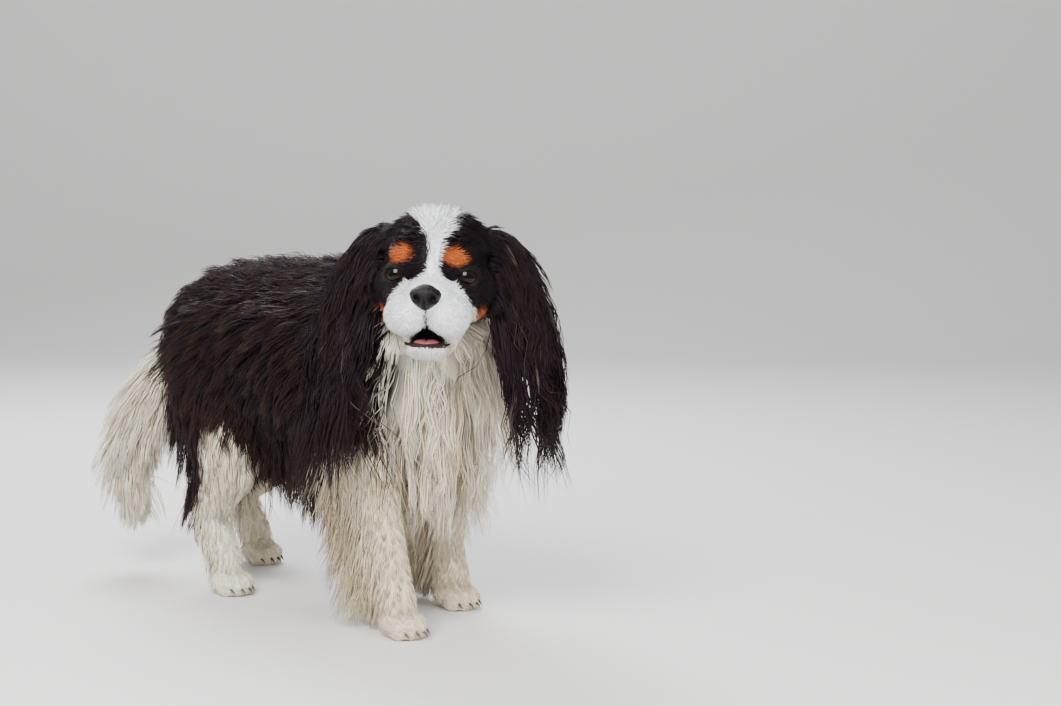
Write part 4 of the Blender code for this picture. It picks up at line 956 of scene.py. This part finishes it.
def tuft_mesh(name, chosen, kind):
    """One piece of coat from the chosen tufts."""
    kept = np.array(TRIM[kind])
    line, way, out = lines[chosen][:, kept], ways[chosen][:, kept], outs[chosen][:, kept]
    colour = ends[chosen][:, kept]
    count, rings = len(chosen), len(kept) - 1
    across = unit(np.cross(way, out))
    over = np.cross(across, way)
    half = look["width"][chosen] * draw.uniform(0.75, 1.2, count) / 2
    half = half[:, None] * np.array(BELLY)[kept][None, :]
    thick = half * 0.5
    points = np.empty((count, rings * 3 + 1, 3))
    for k, (u, v) in enumerate(((-1, -0.5), (1, -0.5), (0, 1.0))):
        offset = across * (half * u)[:, :, None] + over * (thick * v)[:, :, None]
        points[:, k:rings * 3:3] = (line + offset)[:, :-1]
    points[:, -1] = line[:, -1]
    tone = np.ones((count, rings * 3 + 1, 4), np.float32)
    tone[:, :-1, :3] = np.repeat(colour[:, :-1], 3, axis=1)
    tone[:, -1, :3] = colour[:, -1]

    quads = []
    for i in range(rings - 1):
        for k in range(3):
            a, b = i * 3 + k, i * 3 + (k + 1) % 3
            quads.append((a, b, b + 3, a + 3))
    last = (rings - 1) * 3
    tips = [(last + k, last + (k + 1) % 3, rings * 3) for k in range(3)] + [(2, 1, 0)]
    pattern = np.array([i for face in quads + tips for i in face])
    sizes = np.array([4] * len(quads) + [3] * len(tips))
    step_by = rings * 3 + 1
    loops = (pattern[None, :] + (np.arange(count) * step_by)[:, None]).ravel()
    totals = np.tile(sizes, count)

    mesh = bpy.data.meshes.new(name)
    mesh.vertices.add(count * step_by)
    mesh.vertices.foreach_set("co", points.astype(np.float32).ravel())
    mesh.loops.add(len(loops))
    mesh.loops.foreach_set("vertex_index", loops.astype(np.int32))
    mesh.polygons.add(len(totals))
    mesh.polygons.foreach_set("loop_start", np.concatenate([[0], np.cumsum(totals)[:-1]]).astype(np.int32))
    mesh.update(calc_edges=True)
    mesh.shade_smooth()

    # Each side of a tuft has its third of the way round, and the ring its share of the length.
    rounds, along = [], []
    for face in quads:
        k = face[0] % 3
        i = face[0] // 3
        rounds += [k / 3, (k + 1) / 3, (k + 1) / 3, k / 3]
        along += [i, i, i + 1, i + 1]
    for k, face in enumerate(tips[:-1]):
        rounds += [k / 3, (k + 1) / 3, (k + 0.5) / 3]
        along += [rings - 1, rings - 1, rings]
    rounds += [0.3, 0.2, 0.1]
    along += [0, 0, 0]
    local = np.column_stack([rounds, np.array(along) / rings])
    base = bake_place(part[chosen], row[chosen])
    bake = (base[:, None, :] + local[None] * BAKE_PATCH).reshape(-1, 2)
    strand = np.empty((count, len(local), 2))
    strand[:, :, 0] = local[None, :, 0] + draw.uniform(0, 40, count)[:, None]
    strand[:, :, 1] = local[None, :, 1] * length[chosen][:, None] * 20 + draw.uniform(0, 9, count)[:, None]
    for layer, values in (("OFBake", bake), ("strand", strand.reshape(-1, 2))):
        uv = mesh.uv_layers.new(name=layer)
        uv.data.foreach_set("uv", values.astype(np.float32).ravel())
    attribute = mesh.color_attributes.new("tone", "FLOAT_COLOR", "POINT")
    attribute.data.foreach_set("color", tone.ravel())
    obj = bpy.data.objects.new(name, mesh)
    bpy.context.scene.collection.objects.link(obj)
    return obj


coat = []
MOST_TUFTS = {"long": 7000, "short": 19500}
pieces = {"trunk": ("torso",), "neck": ("neck",), "tail": ("tail",), "fore_legs": ("leg_fore_right", "leg_fore_left"),
          "hind_legs": ("leg_hind_right", "leg_hind_left"), "ear_right": ("ear_right",),
          "ear_left": ("ear_left",), "head": ("head",)}
for name, names in pieces.items():
    members = np.flatnonzero(np.isin(part, [PARTS.index(n) for n in names]) & straight)
    for kind, chosen in (("long", members[length[members] > 0.020]), ("short", members[length[members] <= 0.020])):
        parts = math.ceil(len(chosen) / MOST_TUFTS[kind])
        order = chosen[np.argsort(roots[chosen, 1], kind="stable")]
        for i, some in enumerate(np.array_split(order, parts) if parts else []):
            coat.append(tuft_mesh(f"coat_{name}_{kind}_{i + 1}", some, kind))


# Materials: the coat's colour comes from its tufts, broken into fine hairs along their length.
def new_material(name):
    """A material with nodes, its node tree and its Principled shader."""
    material = bpy.data.materials.new(name)
    material.use_nodes = True
    return material, material.node_tree, material.node_tree.nodes["Principled BSDF"]


def node(tree, kind, inputs=None, **settings):
    """A node with its settings and the constants on its sockets."""
    made = tree.nodes.new("ShaderNode" + kind)
    for name, value in settings.items():
        setattr(made, name, value)
    for name, value in (inputs or {}).items():
        made.inputs[name].default_value = value
    return made


coat_material, tree, shader = new_material("coat")
tone = node(tree, "Attribute", attribute_name="tone")
strand = node(tree, "UVMap", uv_map="strand")
scale = node(tree, "VectorMath", {1: (14, 1.2, 1)}, operation="MULTIPLY")
noise = node(tree, "TexNoise", {"Scale": 1.0, "Detail": 2.0})
range_of = node(tree, "MapRange", {"From Min": 0.30, "From Max": 0.70, "To Min": 0.74, "To Max": 1.20})
shaded = node(tree, "VectorMath", operation="SCALE")
bump = node(tree, "Bump", {"Strength": 0.5, "Distance": 0.0005})
tree.links.new(strand.outputs[0], scale.inputs[0])
tree.links.new(scale.outputs[0], noise.inputs["Vector"])
tree.links.new(noise.outputs[0], range_of.inputs["Value"])
tree.links.new(tone.outputs["Color"], shaded.inputs[0])
tree.links.new(range_of.outputs[0], shaded.inputs["Scale"])
tree.links.new(shaded.outputs[0], shader.inputs["Base Color"])
tree.links.new(noise.outputs[0], bump.inputs["Height"])
tree.links.new(bump.outputs[0], shader.inputs["Normal"])
shader.inputs["Roughness"].default_value = 0.50
shader.inputs["Specular IOR Level"].default_value = 0.22
shader.inputs["Specular Tint"].default_value = (0.95, 0.82, 0.98, 1)

skin_material, tree, shader = new_material("skin")
tone = node(tree, "Attribute", attribute_name="tone")
tree.links.new(tone.outputs["Color"], shader.inputs["Base Color"])
shader.inputs["Roughness"].default_value = 0.62
shader.inputs["Specular IOR Level"].default_value = 0.15
skin_part, skin_row = places(flesh_points)
skin_colour, _ = marks(flesh_points, skin_part, skin_row)
attribute = skin.data.color_attributes.new("tone", "FLOAT_COLOR", "POINT")
rgba = np.ones((len(flesh_points), 4), np.float32)
rgba[:, :3] = skin_colour * 0.8
attribute.data.foreach_set("color", rgba.ravel())
skin.data.materials.clear()
skin.data.materials.append(skin_material)
skin.data.polygons.foreach_set("material_index", np.zeros(len(skin.data.polygons), np.int32))
for piece in coat:
    piece.data.materials.append(coat_material)
    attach(piece, "root")


# The eyes: wet dark balls with a brown iris, and a black rim of lid round each, paler below.
IRIS = math.radians(44)
PUPIL = math.radians(17)
LID_TUBE = 0.0010
ROUND = 40


def set_tone(obj, colours):
    """Colours of the vertices, for the material to read."""
    attribute = obj.data.color_attributes.new("tone", "FLOAT_COLOR", "POINT")
    rgba = np.ones((len(colours), 4), np.float32)
    rgba[:, :3] = colours
    attribute.data.foreach_set("color", rgba.ravel())


def finished(obj, material, slot, *nodes):
    """A piece with its material, in its place on the dog."""
    obj.data.materials.append(material)
    obj.data.shade_smooth()
    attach(obj, "root")
    if nodes:
        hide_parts(*nodes)
    return obj


def toned_material(name, roughness, coated=0.0):
    """A smooth material that takes its colour from the vertices."""
    material, tree, shader = new_material(name)
    tone = node(tree, "Attribute", attribute_name="tone")
    tree.links.new(tone.outputs["Color"], shader.inputs["Base Color"])
    shader.inputs["Roughness"].default_value = roughness
    shader.inputs["Coat Weight"].default_value = coated
    shader.inputs["Coat Roughness"].default_value = 0.03
    shader.inputs["Specular IOR Level"].default_value = 0.10
    shader.inputs["Coat IOR"].default_value = 1.35
    return material


def lid_line(side, grow=0.0):
    """Points round the opening between the lids, on the eyeball: an almond, level at its corners."""
    centre, across, up, out = eye_axes(side)
    line = []
    for k in range(ROUND + 1):
        a = 2 * math.pi * k / ROUND
        u = math.cos(a) * (EYE_OPENING[0] + grow)
        v = math.copysign(abs(math.sin(a)) ** 1.25, math.sin(a)) * (EYE_OPENING[1] + grow)
        w = math.sqrt(max((EYE_RADIUS + 0.0004) ** 2 - u * u - v * v, 0))
        line.append(centre + across * u + up * v + out * w)
    return line


eye_material = toned_material("eye", 0.12, 0.40)
lid_material = toned_material("lid", 0.45, 0.08)
for word, side in SIDES.items():
    centre, across, up, out = eye_axes(side)
    ball = bmesh.new()
    bmesh.ops.create_icosphere(ball, subdivisions=6, radius=EYE_RADIUS, matrix=Matrix.Translation(centre))
    eye = object_from(ball, "eyeball_" + word)
    off = unit(points_of(eye) - np.array(centre))
    angle = np.arccos(np.clip(off @ np.array(out), -1, 1))
    fibre = np.arctan2(off @ np.array(up), off @ np.array(across))
    rays = 1 + 0.25 * np.sin(fibre * 37) * np.sin(fibre * 23 + 1)
    colours = np.tile((0.010, 0.006, 0.005), (len(angle), 1))
    colours = mix(colours, (0.0070, 0.0028, 0.0014), step(angle, IRIS + 0.05, IRIS - 0.03))
    colours = colours * np.where(angle < IRIS, rays, 1.0)[:, None]
    colours = mix(colours, (0.006, 0.003, 0.002), step(angle, IRIS * 0.9, IRIS) * step(angle, IRIS + 0.12, IRIS + 0.03))
    colours = mix(colours, (0.0012, 0.0010, 0.0010), step(angle, PUPIL + 0.06, PUPIL - 0.02))
    set_tone(eye, colours)
    finished(eye, eye_material, "eye", "eye_" + word)
    rim = bmesh.new()
    line = lid_line(side, 0.0003)
    add_tube(rim, [(point, LID_TUBE * 1.1, LID_TUBE * 0.8) for point in line], out, 10)
    lid = object_from(rim, "lids_" + word)
    below = (points_of(lid) - np.array(centre)) @ np.array(up)
    set_tone(lid, mix(np.tile(PIGMENT, (len(below), 1)), (0.020, 0.012, 0.010), step(below, -0.0030, -0.0060)))
    finished(lid, lid_material, "eye")


# The nose leather: broad above and narrow below, with a groove down its middle and two nostrils
# that run out into slits at the sides. Its skin is pebbled.
nose_bm = bmesh.new()
bmesh.ops.create_icosphere(nose_bm, subdivisions=6, radius=1.0)
nose = object_from(nose_bm, "nose_leather")
ball = points_of(nose)
x, y, z = ball.T
narrow = by(z, (-1.0, 0.50), (-0.4, 0.80), (0.2, 1.0), (1.0, 0.92))
shape = np.column_stack([x * narrow * (1 - 0.10 * (z > 0.6)), y, z])
shape[:, 2] = np.sign(z) * np.abs(z) ** 0.9
place = shape * np.array(NOSE_RADII)
front = step(-y, 0.1, 0.5)
for side in SIDES.values():
    hole = bump_of(place, (0.0064 * side, -0.0085, -0.0005), (0.0027, 0.012, 0.0029))
    slit = bump_of(place, (0.0108 * side, -0.0060, -0.0034), (0.0034, 0.010, 0.0013))
    wing = bump_of(place, (0.0085 * side, -0.0080, 0.0032), (0.0040, 0.010, 0.0026))
    place[:, 1] += front * (0.0062 * hole + 0.0030 * slit - 0.0009 * wing)
groove = bump_of(place * (1, 0, 1), (0, 0, -0.006), (0.0007, 1, 0.0075))
place[:, 1] += front * 0.0016 * groove
place = place + np.array(NOSE_AT)
place = place @ np.array(HEAD)[:3, :3].T + np.array(HEAD)[:3, 3]
nose.data.vertices.foreach_set("co", place.astype(np.float32).ravel())
nose.data.update()
nose_material, tree, shader = new_material("nose")
shader.inputs["Base Color"].default_value = (0.0040, 0.0030, 0.0034, 1)
shader.inputs["Roughness"].default_value = 0.42
shader.inputs["Specular IOR Level"].default_value = 0.22
at = node(tree, "TexCoord")
cells = node(tree, "TexVoronoi", {"Scale": 1300})
pebble = node(tree, "Bump", {"Strength": 0.55, "Distance": 0.0005})
tree.links.new(at.outputs["Object"], cells.inputs["Vector"])
tree.links.new(cells.outputs["Distance"], pebble.inputs["Height"])
tree.links.new(pebble.outputs["Normal"], shader.inputs["Normal"])
finished(nose, nose_material, "nose", "nose")


# The mouth: a pink tongue that lies behind the lower lip, and dark moist lips round the gap.
TONGUE_AT = (0, -0.0600, -0.0622)
TONGUE_RADII = (0.0110, 0.0140, 0.0028)
tongue_bm = bmesh.new()
add_ball(tongue_bm, TONGUE_AT, TONGUE_RADII, HEAD, 48, 24)
tongue = object_from(tongue_bm, "tongue_flesh")
off = to_head(points_of(tongue)) - np.array(TONGUE_AT)
sink = -0.0009 * np.exp(-((off[:, 0] / 0.0022) ** 2)) * (off[:, 2] > 0)
moved = points_of(tongue) + sink[:, None] * np.array(head_way((0, 0, 1)))
tongue.data.vertices.foreach_set("co", moved.astype(np.float32).ravel())
tongue.data.update()
tongue_material, tree, shader = new_material("tongue")
shader.inputs["Base Color"].default_value = (0.20, 0.050, 0.062, 1)
shader.inputs["Roughness"].default_value = 0.35
shader.inputs["Subsurface Weight"].default_value = 0.15
shader.inputs["Subsurface Scale"].default_value = 0.002
at = node(tree, "TexCoord")
grain = node(tree, "TexNoise", {"Scale": 900.0})
rough = node(tree, "Bump", {"Strength": 0.3, "Distance": 0.0004})
tree.links.new(at.outputs["Object"], grain.inputs["Vector"])
tree.links.new(grain.outputs[0], rough.inputs["Height"])
tree.links.new(rough.outputs["Normal"], shader.inputs["Normal"])
finished(tongue, tongue_material, "tongue", "tongue")

LOWER_LIP = ((-0.0190, -0.0540, -0.0635), (-0.0160, -0.0630, -0.0640), (-0.0090, -0.0698, -0.0646),
             (0, -0.0720, -0.0648), (0.0090, -0.0698, -0.0646), (0.0160, -0.0630, -0.0640),
             (0.0190, -0.0540, -0.0635))
lips = bmesh.new()
LIP = 0.0020
lower = [(in_head(point), LIP * thick, LIP * thick) for point, thick in
         zip(LOWER_LIP, (0.5, 0.75, 1.0, 1.0, 1.0, 0.75, 0.5))]
add_tube(lips, eased(lower, 5), head_way((0, 0, 1)), 12)
lip_obj = object_from(lips, "lips")
lip_material, tree, shader = new_material("lip")
shader.inputs["Base Color"].default_value = (0.016, 0.006, 0.006, 1)
shader.inputs["Roughness"].default_value = 0.60
shader.inputs["Specular IOR Level"].default_value = 0.15
finished(lip_obj, lip_material, "nose")


# Whiskers on the cushions, bristles along the lower lip, and a claw at the end of each toe.
WHISKERS = ((0.0180, -0.0310), (0.0250, -0.0345), (0.0190, -0.0385), (0.0280, -0.0420), (0.0220, -0.0455))
WHISKER = 0.00007
BRISTLE = 0.00028
hairs = np.random.default_rng(11)
whisker_bm = bmesh.new()
for side in SIDES.values():
    for x, z in WHISKERS:
        start = in_head((x, -0.200, z), side)
        root, out, _, _ = skin_tree.ray_cast(start, head_way((0, 1, 0)))
        way = (out + head_way((0.9, 0.10, -0.35 + hairs.normal(0, 0.30)), side)).normalized()
        reach = hairs.uniform(0.018, 0.034)
        line = []
        for k in range(6):
            share = k / 5
            sag = DOWN * share**2 * reach * 0.30 + head_way((0, 1, 0)) * share**2 * reach * 0.25
            size = WHISKER * (1 - 0.85 * share)
            line.append((root + way * (reach * share - 0.001) + sag, size, size))
        add_tube(whisker_bm, line, UP, 5)
for k in range(40):
    place = 1 + 4 * hairs.uniform(0.05, 0.95)
    before, after = Vector(LOWER_LIP[int(place)]), Vector(LOWER_LIP[int(place) + 1])
    root = in_head(before.lerp(after, place % 1) + Vector((0, -0.0008, hairs.uniform(-0.0014, 0.0010))))
    reach = hairs.uniform(0.0050, 0.0085)
    way = head_way((before[0] * 12 + hairs.normal(0, 0.06), -0.35, -0.9)).normalized()
    line = [(root + way * reach * share, BRISTLE * (1.1 - share), BRISTLE * (1.1 - share))
            for share in (0, 0.35, 0.7, 1.0)]
    add_tube(whisker_bm, line, UP, 5)
whiskers = object_from(whisker_bm, "whiskers")
whisker_material, tree, shader = new_material("whisker")
shader.inputs["Base Color"].default_value = (0.78, 0.75, 0.70, 1)
shader.inputs["Roughness"].default_value = 0.35
finished(whiskers, whisker_material, "coat")

CLAW = 0.0060
claw_bm = bmesh.new()
for side in SIDES.values():
    for pair in ("fore", "hind"):
        for toe in toe_places(pair, side):
            tip = toe + Vector((0, -PAW.y * 0.19, -PAW.z * 0.06))
            curve = []
            for k in range(6):
                share = k / 5
                at = tip + Vector((0, -CLAW * math.sin(share * 1.2), -CLAW * 0.62 * share**1.6))
                size = 0.0013 * (1 - 0.80 * share)
                curve.append((at, size, size * 1.25))
            add_tube(claw_bm, curve, Vector((1, 0, 0)), 10)
claws = object_from(claw_bm, "claws")
claw_material, tree, shader = new_material("claw")
shader.inputs["Base Color"].default_value = (0.060, 0.045, 0.038, 1)
shader.inputs["Roughness"].default_value = 0.40
finished(claws, claw_material, "nose")
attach(skin, "root")
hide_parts(*[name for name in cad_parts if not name.startswith(("eye", "nose", "tongue"))])
skin.data.shade_smooth()


# The studio: a pale floor that curves up into the wall behind, and large soft lights.
FLOOR = 6.0
WALL_AT = 3.4
SWEEP = 1.2
profile = [(-FLOOR, 0.0), (WALL_AT - SWEEP, 0.0)]
for k in range(1, 13):
    a = math.pi / 2 * k / 12
    profile.append((WALL_AT - SWEEP + math.sin(a) * SWEEP, SWEEP - math.cos(a) * SWEEP))
profile.append((WALL_AT, 4.5))
VIEW_TURN = Matrix.Rotation(math.radians(-45), 4, "Z")
bm = bmesh.new()
line_of = [bm.verts.new(VIEW_TURN @ Vector((-FLOOR, y, z))) for y, z in profile]
edges = [bm.edges.new(pair) for pair in zip(line_of, line_of[1:])]
swept = bmesh.ops.extrude_edge_only(bm, edges=edges)
moved = [v for v in swept["geom"] if isinstance(v, bmesh.types.BMVert)]
bmesh.ops.translate(bm, verts=moved, vec=VIEW_TURN.to_3x3() @ Vector((2 * FLOOR, 0, 0)))
floor = object_from(bm, "floor")
floor.data.shade_smooth()
floor_material, tree, shader = new_material("floor")
shader.inputs["Base Color"].default_value = (0.74, 0.73, 0.71, 1)
shader.inputs["Roughness"].default_value = 0.7
floor.data.materials.append(floor_material)


def area_light(name, at, aim, size, power, colour):
    """A soft square lamp that shines from one place to another."""
    light = bpy.data.lights.new(name, "AREA")
    light.size = size
    light.energy = power
    light.color = colour
    lamp = bpy.data.objects.new(name, light)
    lamp.location = at
    lamp.rotation_mode = "QUATERNION"
    lamp.rotation_quaternion = (Vector(aim) - Vector(at)).to_track_quat("-Z", "Y")
    bpy.context.scene.collection.objects.link(lamp)
    return lamp


BODY_MIDDLE = (0.0, 0.0, 0.20)
area_light("key", (-1.6, -0.9, 1.7), BODY_MIDDLE, 1.2, 108, (1.0, 0.98, 0.95))
fill = area_light("fill", (-0.1, -2.2, 0.8), BODY_MIDDLE, 1.4, 46, (0.96, 0.98, 1.0))
fill.visible_glossy = False
area_light("rim", (0.6, 1.2, 1.6), BODY_MIDDLE, 1.0, 60, (0.96, 0.97, 1.0))
world = bpy.data.worlds.new("studio")
world.use_nodes = True
backdrop = world.node_tree.nodes["Background"]
backdrop.inputs["Color"].default_value = (0.80, 0.83, 0.88, 1)
backdrop.inputs["Strength"].default_value = 0.60
bpy.context.scene.world = world

lens = bpy.data.cameras.new("camera")
lens.lens = 70
lens.sensor_width = 36
camera = bpy.data.objects.new("camera", lens)
bpy.context.scene.collection.objects.link(camera)
bpy.context.scene.camera = camera
camera.location = Vector((-1.2629, -1.4043, 0.44)) + STANCE
pitch, heading = math.radians(5.76), math.radians(45)
ahead = Vector((math.sin(heading) * math.cos(pitch), math.cos(heading) * math.cos(pitch), -math.sin(pitch)))
camera.rotation_mode = "QUATERNION"
camera.rotation_quaternion = ahead.to_track_quat("-Z", "Y")
